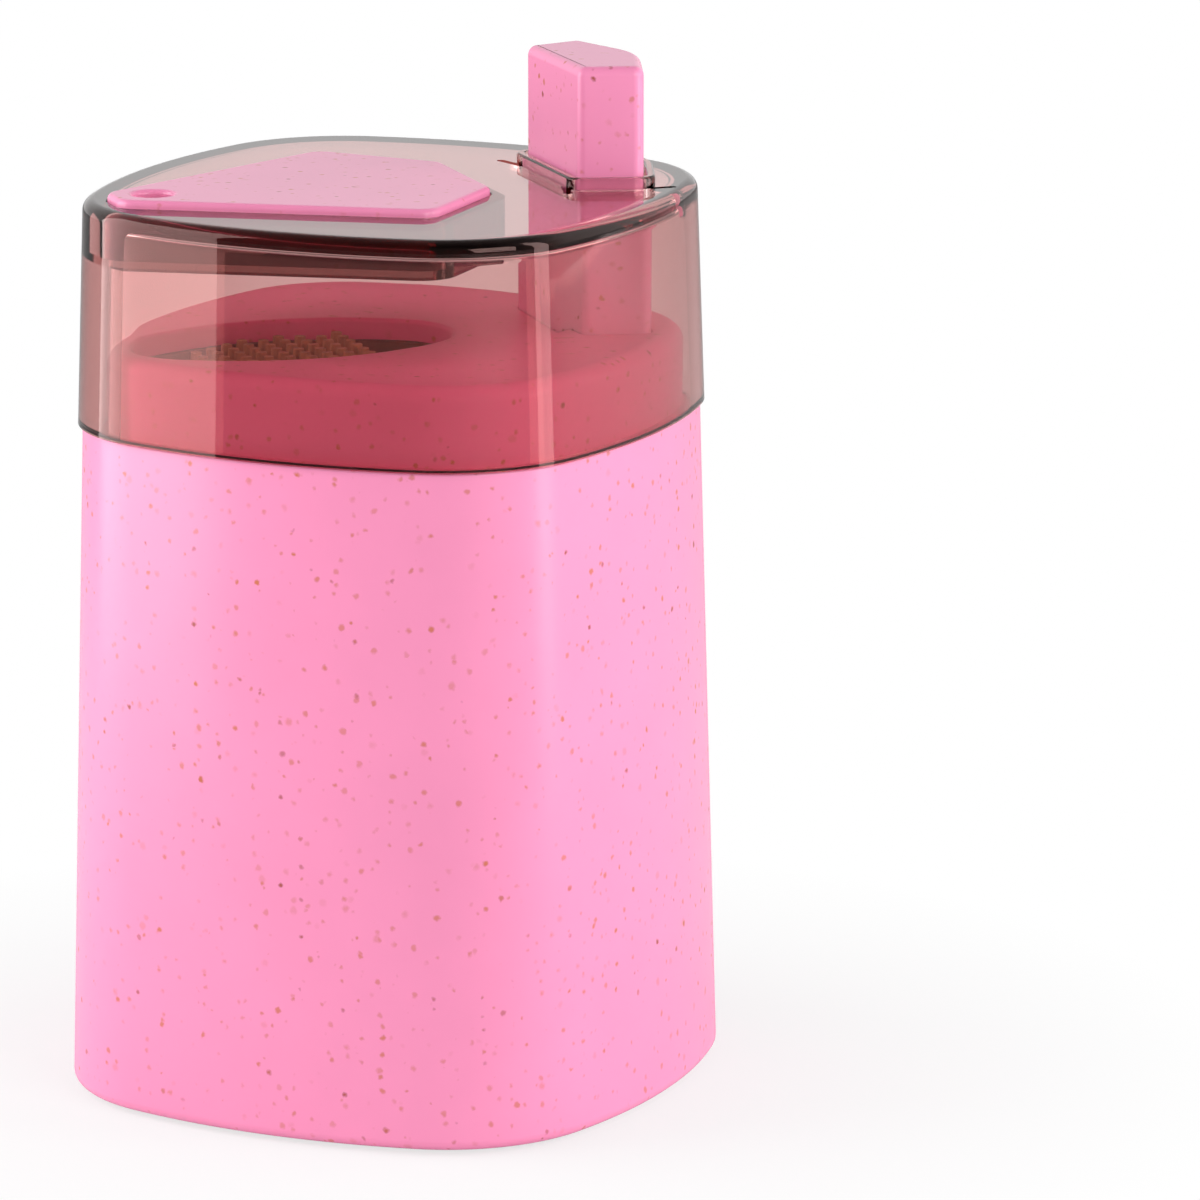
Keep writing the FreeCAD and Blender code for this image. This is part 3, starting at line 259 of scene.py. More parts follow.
# Places of the lamps: right of, ahead of and above the object's middle as the camera sees it
FRONT_PLACE = (0.50, -0.65, 0.32)
FILL_PLACE = (0.60, 0.10, 0.10)

# Specks of the pink plastic: cells per metre, size, share of cells that hold one, strength
CLOUD_SPECKS = (430.0, 0.24, 0.6, 0.5)
FINE_SPECKS = (700.0, 0.30, 0.75, 0.9)
DARK_SPECKS = (620.0, 0.26, 0.45, 1.0)


# Plans: each is a list of points with their outward normals, counter-clockwise

def arc_rail(centre, radius, start, end, steps):
    rail = []
    for step in range(steps + 1):
        turn = start + (end - start) * step / steps
        normal = Vector((math.cos(turn), math.sin(turn)))
        rail.append((Vector(centre) + normal * radius, normal))
    return rail


def body_rail():
    """The body's plan at its foot: four bulged sides and four corner arcs, the corners on the axes."""
    body = settings("body")
    reach = body.side_radius - body.base_half
    spread = body.side_radius - body.corner_radius
    corner = math.sqrt(2 * spread * spread - reach * reach) - reach
    corner_place = corner / math.sqrt(2)
    turn = math.atan2(corner / 2, corner / 2 + reach)
    sweep = math.pi / 4 - turn
    rail = []
    for quarter in range(4):
        side = math.radians(90 * quarter - 45)
        centre = (-reach * math.cos(side), -reach * math.sin(side))
        rail += arc_rail(centre, body.side_radius, side - turn, side + turn, SIDE_STEPS)[:-1]
        corner_angle = side + math.pi / 4
        centre = (corner_place * math.cos(corner_angle), corner_place * math.sin(corner_angle))
        rail += arc_rail(centre, body.corner_radius, corner_angle - sweep, corner_angle + sweep,
                         CORNER_STEPS)[:-1]
    return rail


def oval_rail():
    """The deck's opening, four tangent arcs."""
    body = settings("body")
    half_width = body.opening_width / 2
    end_radius = body.opening_end_radius
    end_place = body.opening_length / 2 - end_radius
    long_radius = (end_place ** 2 + half_width ** 2 - end_radius ** 2) / (2 * (half_width - end_radius))
    depth = long_radius - half_width
    turn = math.atan2(depth, end_place)
    middle = -body.opening_place
    rail = []
    for start, side in ((0.0, 1), (math.pi, -1)):
        rail += arc_rail((middle + side * end_place, 0), end_radius, start - turn, start + turn,
                         SIDE_STEPS)[:-1]
        rail += arc_rail((middle, -side * depth), long_radius, start + turn, start + math.pi - turn,
                         LONG_SIDE_STEPS)[:-1]
    return rail


def hull_rail(circles, steps=10):
    """The plan round corner circles, given counter-clockwise as distance along X, along Y and radius."""
    count = len(circles)
    normals = []
    for index, (across, along, radius) in enumerate(circles):
        next_across, next_along, next_radius = circles[(index + 1) % count]
        heading = math.atan2(next_along - along, next_across - across)
        distance = math.hypot(next_across - across, next_along - along)
        normals.append(heading - math.acos((radius - next_radius) / distance))
    rail = []
    for index, (across, along, radius) in enumerate(circles):
        start = normals[index - 1]
        end = start + (normals[index] - start) % (2 * math.pi)
        rail += arc_rail((across, along), radius, start, end, steps)
    return rail


def circle_rail(across, along, radius, steps=48):
    return arc_rail((across, along), radius, 0, 2 * math.pi, steps)[:-1]


def from_millimetres(circles):
    return [tuple(value * MM for value in circle) for circle in circles]


def petal_rail():
    far_side = [(across, -along, radius) for across, along, radius in reversed(PETAL_CORNERS)]
    return hull_rail(from_millimetres([*PETAL_CORNERS, *far_side]))


def post_rail():
    return hull_rail(from_millimetres(POST_CORNERS))


def slot_rails():
    return [hull_rail(from_millimetres((across, along * side, SLOT_RADIUS) for across, along in ends))
            for side in (1, -1) for ends in SLOT_ENDS]


# Mesh helpers

def mesh_object(name, vertices, faces):
    mesh = bpy.data.meshes.new(name)
    mesh.from_pydata(vertices, [], faces)
    mesh.validate()
    piece = bpy.data.objects.new(name, mesh)
    bpy.context.scene.collection.objects.link(piece)
    return piece


def loft(name, rail, profile, closed=False, upright=True):
    """A solid whose rings follow a plan: each profile entry is how far the ring is grown and its height.

    A plan that isn't upright lies in the XZ plane, and its heights run along Y.
    """
    count = len(rail)
    vertices = []
    for grow, height in profile:
        for point, normal in rail:
            place = point + normal * grow
            vertices.append((place.x, place.y, height) if upright else (place.x, height, place.y))
    faces = []
    rings = len(profile)
    for ring in range(rings if closed else rings - 1):
        lower = ring * count
        upper = ((ring + 1) % rings) * count
        for index in range(count):
            following = (index + 1) % count
            faces.append((lower + index, lower + following, upper + following, upper + index))
    if not closed:
        faces.append(tuple(reversed(range(count))))
        faces.append(tuple((rings - 1) * count + index for index in range(count)))
    piece = mesh_object(name, vertices, faces)
    point_outwards(piece)
    return piece


def point_outwards(piece):
    grid = bmesh.new()
    grid.from_mesh(piece.data)
    bmesh.ops.remove_doubles(grid, verts=grid.verts, dist=1e-7)
    bmesh.ops.recalc_face_normals(grid, faces=grid.faces)
    grid.to_mesh(piece.data)
    grid.free()


def bake(piece):
    """Turn the piece's modifiers into plain mesh."""
    graph = bpy.context.evaluated_depsgraph_get()
    mesh = bpy.data.meshes.new_from_object(piece.evaluated_get(graph))
    piece.modifiers.clear()
    piece.data = mesh
    mesh.name = piece.name


def combine(piece, tool, operation):
    modifier = piece.modifiers.new("combine", "BOOLEAN")
    modifier.operation = operation
    modifier.solver = "MANIFOLD"
    modifier.object = tool
    bake(piece)
    bpy.data.objects.remove(tool)


def cut(piece, rail, profile):
    combine(piece, loft("tool", rail, profile), "DIFFERENCE")


def add(piece, rail, profile):
    combine(piece, loft("tool", rail, profile), "UNION")


def quarter_round(radius, grow, height, steps=6):
    """Profile entries for a rounded upper edge that ends at a height, the outer wall at a given growth."""
    entries = []
    for step in range(steps + 1):
        turn = math.pi / 2 * step / steps
        entries.append((grow - radius * (1 - math.cos(turn)), height - radius * (1 - math.sin(turn))))
    return entries


def flared(radius, grow, low, high):
    """Profile of a cutting tool that also rounds the upper edge of its hole."""
    rounding = [(2 * grow - out, up) for out, up in quarter_round(radius, grow, high, 5)]
    return [(grow, low), *rounding, (grow + radius, high + MM)]


def smooth(piece, angle=32.0):
    """Smooth shading with sharp edges kept, and normals weighted by face area."""
    mesh = piece.data
    mesh.shade_smooth()
    mesh.set_sharp_from_angle(angle=math.radians(angle))
    modifier = piece.modifiers.new("weighted normals", "WEIGHTED_NORMAL")
    modifier.keep_sharp = True
    bake(piece)


def mark_faces(piece, name, rail, grow, top):
    """A face attribute that is one inside a convex plan, grown by a length, and below a height."""
    mark = piece.data.attributes.new(name, "FLOAT", "FACE")
    for face in piece.data.polygons:
        place = Vector(face.center.xy)
        inside = all((place - point).dot(normal) < grow for point, normal in rail)
        mark.data[face.index].value = 1.0 if inside and face.center.z < top else 0.0


def dress(piece, material, body, slot, *nodes):
    """Give a finished piece its material and its body, and hide the CAD nodes that it stands for; its slot is
    not used.
    """
    piece.data.materials.clear()
    piece.data.materials.append(material)
    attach(piece, body)
    if nodes:
        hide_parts(*nodes)


# Materials

class Tree:
    """A node tree, with short ways to add nodes. An input is given a constant, or another node's output."""

    def __init__(self, tree):
        self.tree = tree

    def fill(self, node, inputs):
        for name, value in inputs.items():
            socket = node.inputs[name]
            if isinstance(value, bpy.types.NodeSocket):
                self.tree.links.new(value, socket)
            elif socket.type == "RGBA":
                socket.default_value = (*value, 1.0)
            else:
                socket.default_value = value

    def add(self, kind, inputs=None, **values):
        node = self.tree.nodes.new(kind)
        for name, value in values.items():
            setattr(node, name, value)
        self.fill(node, inputs or {})
        return node

    def coordinates(self, kind="Object"):
        return self.add("ShaderNodeTexCoord").outputs[kind]

    def noise(self, place, scale, detail=2.0):
        return self.add("ShaderNodeTexNoise", {"Vector": place, "Scale": scale, "Detail": detail})

    def math(self, operation, first, second):
        return self.add("ShaderNodeMath", {0: first, 1: second}, operation=operation).outputs[0]

    def between(self, value, low, high, start=0.0, end=1.0):
        """From one level to another, while a value goes from its start to its end."""
        levels = {"Value": value, "From Min": start, "From Max": end, "To Min": low, "To Max": high}
        return self.add("ShaderNodeMapRange", levels).outputs["Result"]

    def ramp(self, factor, *stops):
        node = self.add("ShaderNodeValToRGB", {"Fac": factor})
        for element, (position, tint) in zip(node.color_ramp.elements, stops):
            element.position = position
            element.color = (*tint, 1.0)
        return node.outputs["Color"]

    def mix(self, factor, first, second, kind="RGBA"):
        return self.add("ShaderNodeMix", {"Factor": factor, "A": first, "B": second},
                        data_type=kind).outputs["Result"]

    def bump(self, height, strength, distance):
        return self.add("ShaderNodeBump", {"Height": height, "Strength": strength,
                                           "Distance": distance}).outputs["Normal"]


def new_material(name):
    material = bpy.data.materials.new(name)
    material.use_nodes = True
    return material, Tree(material.node_tree), material.node_tree.nodes["Principled BSDF"]


def scaled(tint, factor):
    return tuple(min(1.0, channel * factor) for channel in tint)


def add_specks(tree, place, base, kind, *stops):
    """Scattered specks over a base colour: a share of the cells hold one, each of its own size and tint."""
    scale, size, held_share, strength = kind
    cells = tree.add("ShaderNodeTexVoronoi", {"Scale": scale, "Vector": place})
    split = tree.add("ShaderNodeSeparateColor", {"Color": cells.outputs["Color"]}).outputs
    radius = tree.between(split["Red"], size * 0.45, size, start=1.0 - held_share)
    inside = tree.math("SUBTRACT", radius, cells.outputs["Distance"])
    soft = tree.add("ShaderNodeClamp", {"Value": tree.math("DIVIDE", inside, size * 0.5)}).outputs[0]
    held = tree.math("GREATER_THAN", split["Red"], 1.0 - held_share)
    depth = tree.between(split["Blue"], strength * 0.45, strength)
    amount = tree.math("MULTIPLY", tree.math("MULTIPLY", soft, held), depth)
    return tree.mix(amount, base, tree.ramp(split["Green"], *stops))


def pink_plastic(name, base, roughness, specular=0.5):
    """Speckled pink moulding: fine brown and orange flecks, a few soft clouds, a faint moulded skin."""
    finish = settings("finish")
    material, tree, shader = new_material(name)
    place = tree.coordinates()
    waver = tree.noise(place, 1500.0).outputs["Color"]
    uneven = tree.add("ShaderNodeVectorMath", {0: waver, 1: (0.5 * MM,) * 3, 2: place},
                      operation="MULTIPLY_ADD").outputs["Vector"]
    cloud = tree.noise(place, 90.0, 3.0).outputs["Fac"]
    ground = tree.ramp(cloud, (0.35, scaled(base, 0.985)), (0.65, scaled(base, 1.015)))
    warm = tuple(finish.speck_warm)
    soft = tuple(0.6 * a + 0.4 * b for a, b in zip(warm, base))
    for kind in (CLOUD_SPECKS, FINE_SPECKS):
        ground = add_specks(tree, uneven, ground, kind, (0.0, warm), (1.0, soft))
    ground = add_specks(tree, uneven, ground, DARK_SPECKS, (0.1, tuple(finish.speck_dark)), (0.4, warm))
    tree.fill(shader, {
        "Base Color": ground,
        "Normal": tree.bump(tree.noise(place, 700.0).outputs["Fac"], 0.05, 0.05 * MM),
        "Roughness": roughness,
        "Specular IOR Level": specular,
        "IOR": 1.5,
    })
    return material


def smoked_plastic(name):
    """Clear smoke-brown moulding, tinted through its depth so that its rounded rims show dark, with painted
    shade as a darker tint on the collar's faces.
    """
    finish = settings("finish")
    material, tree, shader = new_material(name)
    # Painted shade: faces marked as collar take the darker tint that stands in for the shade under the roof.
    collar = tree.add("ShaderNodeAttribute", attribute_name="collar").outputs["Fac"]
    tree.fill(shader, {
        "Base Color": tree.mix(collar, (1.0, 1.0, 1.0), tuple(finish.collar)),
        "Normal": tree.bump(tree.noise(tree.coordinates(), 60.0).outputs["Fac"], 0.03, 0.1 * MM),
        "Roughness": 0.02,
        "Specular Tint": (1.0, 0.62, 0.58),
        "IOR": 1.49,
        "Transmission Weight": 1.0,
    })
    depth = tree.add("ShaderNodeVolumeAbsorption", {"Color": tuple(finish.smoke),
                                                    "Density": finish.smoke_depth})
    tree.fill(tree.tree.nodes["Material Output"], {"Volume": depth.outputs["Volume"]})
    return material


def plain_plastic(name, base, roughness):
    """Unpainted moulded plastic with a fine grain and slight mottling."""
    material, tree, shader = new_material(name)
    place = tree.coordinates()
    mottle = tree.noise(place, 220.0, 5.0).outputs["Fac"]
    tree.fill(shader, {
        "Base Color": tree.ramp(mottle, (0.3, scaled(base, 0.85)), (0.7, base)),
        "Normal": tree.bump(tree.noise(place, 1800.0).outputs["Fac"], 0.12, 0.05 * MM),
        "Roughness": roughness,
    })
    return material


def turned_steel(name):
    """Turned steel with a fine variation of its tone and its roughness."""
    material, tree, shader = new_material(name)
    grain = tree.noise(tree.coordinates(), 900.0, 6.0).outputs["Fac"]
    base = tuple(settings("finish").steel)
    tree.fill(shader, {
        "Base Color": tree.ramp(grain, (0.35, scaled(base, 0.8)), (0.65, base)),
        "Roughness": tree.between(grain, 0.22, 0.38),
        "Metallic": 1.0,
    })
    return material


def birch_wood(name):
    """Pale wood with grain along each pick and a slightly different tone from pick to pick."""
    material, tree, shader = new_material(name)
    along = tree.add("ShaderNodeMapping", {"Vector": tree.coordinates(), "Scale": (1.0, 1.0, 0.04)})
    place = along.outputs["Vector"]
    grain = tree.noise(place, 1600.0, 4.0).outputs["Fac"]
    tone = tree.noise(place, 330.0).outputs["Fac"]
    base = tuple(settings("finish").wood)
    streaks = tree.ramp(grain, (0.3, scaled(base, 0.62)), (0.6, base))
    tree.fill(shader, {
        "Base Color": tree.mix(tone, streaks, scaled(base, 0.72)),
        "Normal": tree.bump(grain, 0.25, 0.05 * MM),
        "Roughness": 0.6,
    })
    return material


def material_named(name):
    """A finish by its name, made when it is first asked for."""
    known = bpy.data.materials.get(name)
    if known:
        return known
    finish = settings("finish")
    makers = {
        "speckled pink": lambda: pink_plastic(name, tuple(finish.pink), finish.gloss),
        # The neck's deeper, redder pink is painted shade for its place under the lid.
        "speckled pink shaded neck": lambda: pink_plastic(name, tuple(finish.pink_shaded_neck), 0.42, 0.25),
        "smoked clear": lambda: smoked_plastic(name),
        "hopper brown": lambda: plain_plastic(name, tuple(finish.brown), 0.5),
        "lever white": lambda: plain_plastic(name, tuple(finish.white), 0.42),
        "turned steel": lambda: turned_steel(name),
        "foot rubber": lambda: plain_plastic(name, tuple(finish.rubber), 0.8),
        "birch": lambda: birch_wood(name),
    }
    return makers[name]()


# Operators, one for each piece or group of like pieces

class DISPENSER_OT_body(bpy.types.Operator):
    """Make the tapered pink body"""
    bl_idname = "dispenser.body"
    bl_label = "Body"

    def execute(self, context):
        body = settings("body")
        rise = SEAM - BODY_FOOT

        def wall_inset(height):
            return body.seam_inset * (height - BODY_FOOT) / rise

        foot = body.bottom_round
        lean = wall_inset(BODY_FOOT + foot)
        profile = []
        for turn in [math.pi / 2 * step / 6 for step in range(7)]:
            inset = foot * (1 - math.sin(turn)) + lean * math.sin(turn)
            profile.append((-inset, BODY_FOOT + foot * (1 - math.cos(turn))))
        profile += quarter_round(body.seam_round, -body.seam_inset, SEAM, 4)
        socket = body.seam_inset + body.rim_wall
        profile += [(-socket, SEAM), (-socket, NECK_FOOT), (-wall_inset(NECK_FOOT) - body.wall, NECK_FOOT),
                    (-body.wall, BODY_FOOT)]
        shell = loft("body_shell", body_rail(), profile, closed=True)
        smooth(shell)
        dress(shell, material_named("speckled pink"), "housing", "pink_plastic", "outer_body")
        return {"FINISHED"}


class DISPENSER_OT_neck(bpy.types.Operator):
    """Make the neck and deck with the oval opening and the post's passage"""
    bl_idname = "dispenser.neck"
    bl_label = "Neck and deck"

    def execute(self, context):
        body = settings("body")
        post = settings("post")
        rail = body_rail()
        plug_inset = body.seam_inset + body.rim_wall + body.socket_gap
        neck_inset = body.seam_inset + body.neck_inset
        under = DECK - body.deck_wall
        profile = [(-plug_inset, NECK_FOOT), (-plug_inset, SEAM), (-neck_inset, SEAM)]
        profile += quarter_round(body.deck_round, -neck_inset, DECK, 8)
        neck = loft("neck_and_deck", rail, profile)
        inside = -neck_inset - body.neck_wall
        cut(neck, rail, [(inside, NECK_FOOT - MM), (inside, under)])
        grow = post.run_gap + post.sleeve_wall
        add(neck, post_rail(), [(grow, NECK_FOOT), (grow, under + body.deck_wall / 2)])
        cut(neck, post_rail(), flared(post.passage_round, post.run_gap, NECK_FOOT - MM, DECK))
        cut(neck, oval_rail(), flared(body.opening_round, 0.0, under - MM, DECK))
        smooth(neck)
        # The neck's pink carries painted shade for the dim light under the lid.
        dress(neck, material_named("speckled pink shaded neck"), "housing", "pink_plastic", "neck_deck")
        return {"FINISHED"}


class DISPENSER_OT_lid(bpy.types.Operator):
    """Make the transparent lid with its collar, lip and slots"""
    bl_idname = "dispenser.lid"
    bl_label = "Lid"

    def execute(self, context):
        lid = settings("lid")
        rail = body_rail()
        top = SEAM + lid.height
        under = top - lid.roof
        collar_foot = top - lid.collar_depth
        profile = [(-lid.inset, SEAM)]
        profile += quarter_round(lid.edge_round, -lid.inset - lid.lean, top, 10)
        shell = loft("lid_clear", rail, profile)
        inner = -lid.inset - lid.wall
        inside = [(inner, SEAM - MM), (inner, SEAM)]
        inside += quarter_round(lid.inner_round, inner - lid.lean, under, 6)
        cut(shell, rail, inside)
        grow = lid.petal_gap + lid.collar_wall
        add(shell, petal_rail(), [(grow, collar_foot), (grow, under + lid.roof / 2)])
        cut(shell, petal_rail(), flared(lid.seat_round, lid.petal_gap, PETAL_FOOT, top))
        ledge = lid.petal_gap - lid.ledge
        cut(shell, petal_rail(), [(ledge, collar_foot - MM), (ledge, PETAL_FOOT + MM)])
        for slot in slot_rails():
            cut(shell, slot, [(0.0, under - MM), (0.0, top + MM)])
        lip = lid.hole_gap + lid.lip_wall
        add(shell, post_rail(), [(lip, under)] + quarter_round(lid.lip_round, lip, LIP_TOP, 4))
        cut(shell, post_rail(), flared(lid.lip_round, lid.hole_gap, under - MM, LIP_TOP))
        smooth(shell)
        # Marks the collar's faces that get the painted shade tint.
        mark_faces(shell, "collar", petal_rail(), grow + 0.2 * MM, under - 0.3 * MM)
        dress(shell, material_named("smoked clear"), "lid", "smoke_plastic", "lid_shell")
        return {"FINISHED"}


class DISPENSER_OT_petal(bpy.types.Operator):
    """Make the petal cap with its exit hole"""
    bl_idname = "dispenser.petal"
    bl_label = "Petal cap"

    def execute(self, context):
        lid = settings("lid")
        rail = petal_rail()
        cap = loft("petal", rail, [(0.0, PETAL_FOOT)] + quarter_round(lid.petal_round, 0.0, PETAL_TOP, 6))
        cut(cap, rail, [(-lid.petal_wall, PETAL_FOOT - MM), (-lid.petal_wall, PETAL_TOP - lid.petal_roof)])
        tube = lid.exit_radius + lid.exit_tube_wall
        add(cap, circle_rail(-lid.exit_place, 0.0, tube),
            [(0.0, PETAL_FOOT), (0.0, PETAL_TOP - lid.petal_roof / 2)])
        cut(cap, circle_rail(-lid.exit_place, 0.0, lid.exit_radius),
            flared(lid.exit_round, 0.0, PETAL_FOOT - MM, PETAL_TOP))
        smooth(cap)
        dress(cap, material_named("speckled pink"), "lid", "pink_plastic", "petal_cap")
        return {"FINISHED"}


class DISPENSER_OT_post(bpy.types.Operator):
    """Make the press post with its flange and slotted stem"""
    bl_idname = "dispenser.post"
    bl_label = "Press post"

    def execute(self, context):
        post = settings("post")
        rail = post_rail()
        foot = SEAM - post.head_depth
        piece = loft("push_post", rail, [(0.0, foot)] + quarter_round(post.top_round, 0.0, POST_TOP, 8))
        add(piece, rail, [(post.flange, foot), (post.flange, foot + post.flange_wall)])
        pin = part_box("link_pin")
        low, high = pin[0].z - post.slot_gap, pin[1].z + post.slot_gap
        near = (pin[0].x + pin[1].x) / 2
        radius = (high - low) / 2
        half = post.stem_length / 2
        middle = near + post.slot_travel / 2
        stem_foot = (low + high) / 2 - post.stem_foot
        corner = post.stem_corner
        side = post.stem_width / 2 - corner
        left, right = middle - half + corner, middle + half - corner
        stem = hull_rail([(left, -side, corner), (right, -side, corner), (right, side, corner),
                          (left, side, corner)], 4)
        add(piece, stem, [(0.0, stem_foot), (0.0, foot + post.flange_wall / 2)])
        add(piece, circle_rail(middle, 0.0, post.seat_radius),
            [(0.0, stem_foot), (0.0, stem_foot + post.seat_wall)])
        add(piece, circle_rail(middle, 0.0, post.spigot_radius),
            [(0.0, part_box("press_post")[0].z), (0.0, stem_foot + post.seat_wall / 2)])
        height = (low + high) / 2
        slot = hull_rail([(near, height, radius), (near + post.slot_travel, height, radius)], 16)
        combine(piece, loft("tool", slot, [(0.0, -10 * MM), (0.0, 10 * MM)], upright=False), "DIFFERENCE")
        smooth(piece)
        dress(piece, material_named("speckled pink"), "post", "pink_plastic", "press_post")
        return {"FINISHED"}


class DISPENSER_OT_picks(bpy.types.Operator):
    """Make the standing picks and the one on the lifter"""
    bl_idname = "dispenser.picks"
    bl_label = "Picks"

    def execute(self, context):
        for name, body, node in (("stock_picks", "housing", "toothpick_stock"),
                                 ("lifted_pick", "lift", "served_toothpick")):
            picks = stand_picks(name, pick_places(node))
            dress(picks, material_named("birch"), body, "wood", node)
        return {"FINISHED"}


def pick_places(node):
    """The foot of each pick of a CAD node, found from the rims of the picks' lower tips."""
    picks = settings("picks")
    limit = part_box(node)[0].z + picks.point / 2
    tips = []
    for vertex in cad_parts[node].data.vertices:
        place = vertex.co
        if place.z > limit:
            continue
        for tip in tips:
            if math.hypot(tip[0].x - place.x, tip[0].y - place.y) < picks.radius:
                tip.append(place.copy())
                break
        else:
            tips.append([place.copy()])
    places = []
    for tip in tips:
        across = (min(place.x for place in tip) + max(place.x for place in tip)) / 2
        along = (min(place.y for place in tip) + max(place.y for place in tip)) / 2
        places.append((across, along, min(place.z for place in tip)))
    return places


def stand_picks(name, places):
    """Picks as instances on points, each turned by chance about its own axis and made a plain mesh."""
    picks = settings("picks")
    piece = mesh_object(name, places, [])
    group = bpy.data.node_groups.new(f"{name} scatter", "GeometryNodeTree")
    interface = group.interface
    interface.new_socket("Points", in_out="INPUT", socket_type="NodeSocketGeometry")
    sizes = {}
    for label, value in (("Length", picks.length), ("Radius", picks.radius),
                         ("Point length", picks.point), ("Tip radius", picks.point_radius)):
        socket = interface.new_socket(label, in_out="INPUT", socket_type="NodeSocketFloat")
        socket.subtype = "DISTANCE"
        sizes[socket.identifier] = value
    interface.new_socket("Picks", in_out="OUTPUT", socket_type="NodeSocketGeometry")
    tree = Tree(group)
    given = tree.add("NodeGroupInput").outputs
    end = tree.add("ShaderNodeCombineXYZ", {"Z": given["Length"]}).outputs[0]
    line = tree.add("GeometryNodeCurvePrimitiveLine", {"End": end}).outputs[0]
    rings = tree.add("GeometryNodeResampleCurve", {"Curve": line, "Length": given["Point length"]},
                     mode="LENGTH").outputs[0]
    along = tree.add("GeometryNodeSplineParameter").outputs["Length"]
    to_end = tree.math("MINIMUM", along, tree.math("SUBTRACT", given["Length"], along))
    taper = tree.math("MINIMUM", tree.math("DIVIDE", to_end, given["Point length"]), 1.0)
    spread = tree.math("SUBTRACT", given["Radius"], given["Tip radius"])
    radius = tree.math("ADD", tree.math("MULTIPLY", taper, spread), given["Tip radius"])
    circle = tree.add("GeometryNodeCurvePrimitiveCircle", {"Resolution": 12, "Radius": 1.0}).outputs[0]
    tube = tree.add("GeometryNodeCurveToMesh", {"Curve": rings, "Profile Curve": circle,
                                                "Scale": radius, "Fill Caps": True}).outputs[0]
    chance = tree.add("FunctionNodeRandomValue", {"Max": math.tau, "Seed": 7}, data_type="FLOAT").outputs
    turn = next(socket for socket in chance if socket.enabled)
    euler = tree.add("ShaderNodeCombineXYZ", {"Z": turn}).outputs[0]
    rotation = tree.add("FunctionNodeEulerToRotation", {0: euler}).outputs[0]
    stand = tree.add("GeometryNodeInstanceOnPoints", {"Points": given["Points"], "Instance": tube,
                                                      "Rotation": rotation}).outputs[0]
    real = tree.add("GeometryNodeRealizeInstances", {0: stand}).outputs[0]
    finished = tree.add("GeometryNodeSetMaterial", {"Geometry": real, "Material": material_named("birch")})
    tree.add("NodeGroupOutput", {"Picks": finished.outputs[0]})
    modifier = piece.modifiers.new("scatter", "NODES")
    modifier.node_group = group
    for identifier, value in sizes.items():
        modifier[identifier] = value
    bake(piece)
    point_outwards(piece)
    smooth(piece, 20.0)
    return piece


class DISPENSER_OT_spring(bpy.types.Operator):
    """Make the return spring, with closed end turns"""
    bl_idname = "dispenser.spring"
    bl_label = "Return spring"

    def execute(self, context):
        spring = settings("spring")
        foot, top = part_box("return_spring")
        middle = (foot.x + top.x) / 2
        length = top.z - foot.z
        steps = SPRING_STEPS
        sides = WIRE_SIDES
        count = spring.turns * steps
        shares = []
        for step in range(count):
            from_end = min(step, count - step) / steps
            shares.append(min(1.0, max(0.0, (from_end - CLOSED_TURNS) / OPENING_TURNS)))
        closed_rise = CLOSED_PITCH * spring.wire / steps
        open_rise = (length - 2 * spring.wire - count * closed_rise) / sum(shares)
        vertices = []
        height = foot.z + spring.wire
        for step in range(count + 1):
            around = 2 * math.pi * step / steps
            out = Vector((math.cos(around), math.sin(around), 0.0))
            centre = Vector((middle, 0.0, height)) + out * spring.radius
            for side in range(sides):
                turn = 2 * math.pi * side / sides
                ring = out * math.cos(turn) + Vector((0.0, 0.0, math.sin(turn)))
                vertices.append(centre + ring * spring.wire)
            if step < count:
                height += closed_rise + open_rise * shares[step]
        faces = [tuple(range(sides)), tuple(count * sides + side for side in reversed(range(sides)))]
        for step in range(count):
            for side in range(sides):
                following = (side + 1) % sides
                faces.append((step * sides + side, (step + 1) * sides + side,
                              (step + 1) * sides + following, step * sides + following))
        coil = mesh_object("coil_spring", vertices, faces)
        point_outwards(coil)
        smooth(coil, 40.0)
        dress(coil, material_named("turned steel"), "post", "steel", "return_spring")
        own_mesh(coil)
        return {"FINISHED"}


class DISPENSER_OT_inner_finishes(bpy.types.Operator):
    """Give the carried-over inner pieces their finishes"""
    bl_idname = "dispenser.inner_finishes"
    bl_label = "Inner finishes"

    def execute(self, context):
        finishes = {
            "speckled pink": ("base_plate",),
            "hopper brown": ("hopper",),
            "lever white": ("rocker_frame", "lifter", "rocker_bracket"),
            "turned steel": ("base_screws", "hopper_screws", "bracket_screws", "rocker_shaft", "shaft_clips",
                             "link_pin", "link_clips"),
            "foot rubber": ("rubber_feet",),
        }
        for finish, nodes in finishes.items():
            for node in nodes:
                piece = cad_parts[node]
                if not piece.material_slots:
                    piece.data.materials.append(None)
                for slot in piece.material_slots:
                    slot.material = material_named(finish)
        return {"FINISHED"}


def area_lamp(name, place, aim, width, height, watts, mirrored_too=True):
    lamp = bpy.data.lights.new(name, "AREA")
    lamp.shape = "RECTANGLE"
    lamp.size = width
    lamp.size_y = height
    lamp.energy = watts
    holder = bpy.data.objects.new(name, lamp)
    holder.location = place
    holder.rotation_euler = (Vector(aim) - Vector(place)).to_track_quat("-Z", "Y").to_euler()
    holder.visible_camera = False
    holder.visible_glossy = mirrored_too
    bpy.context.scene.collection.objects.link(holder)


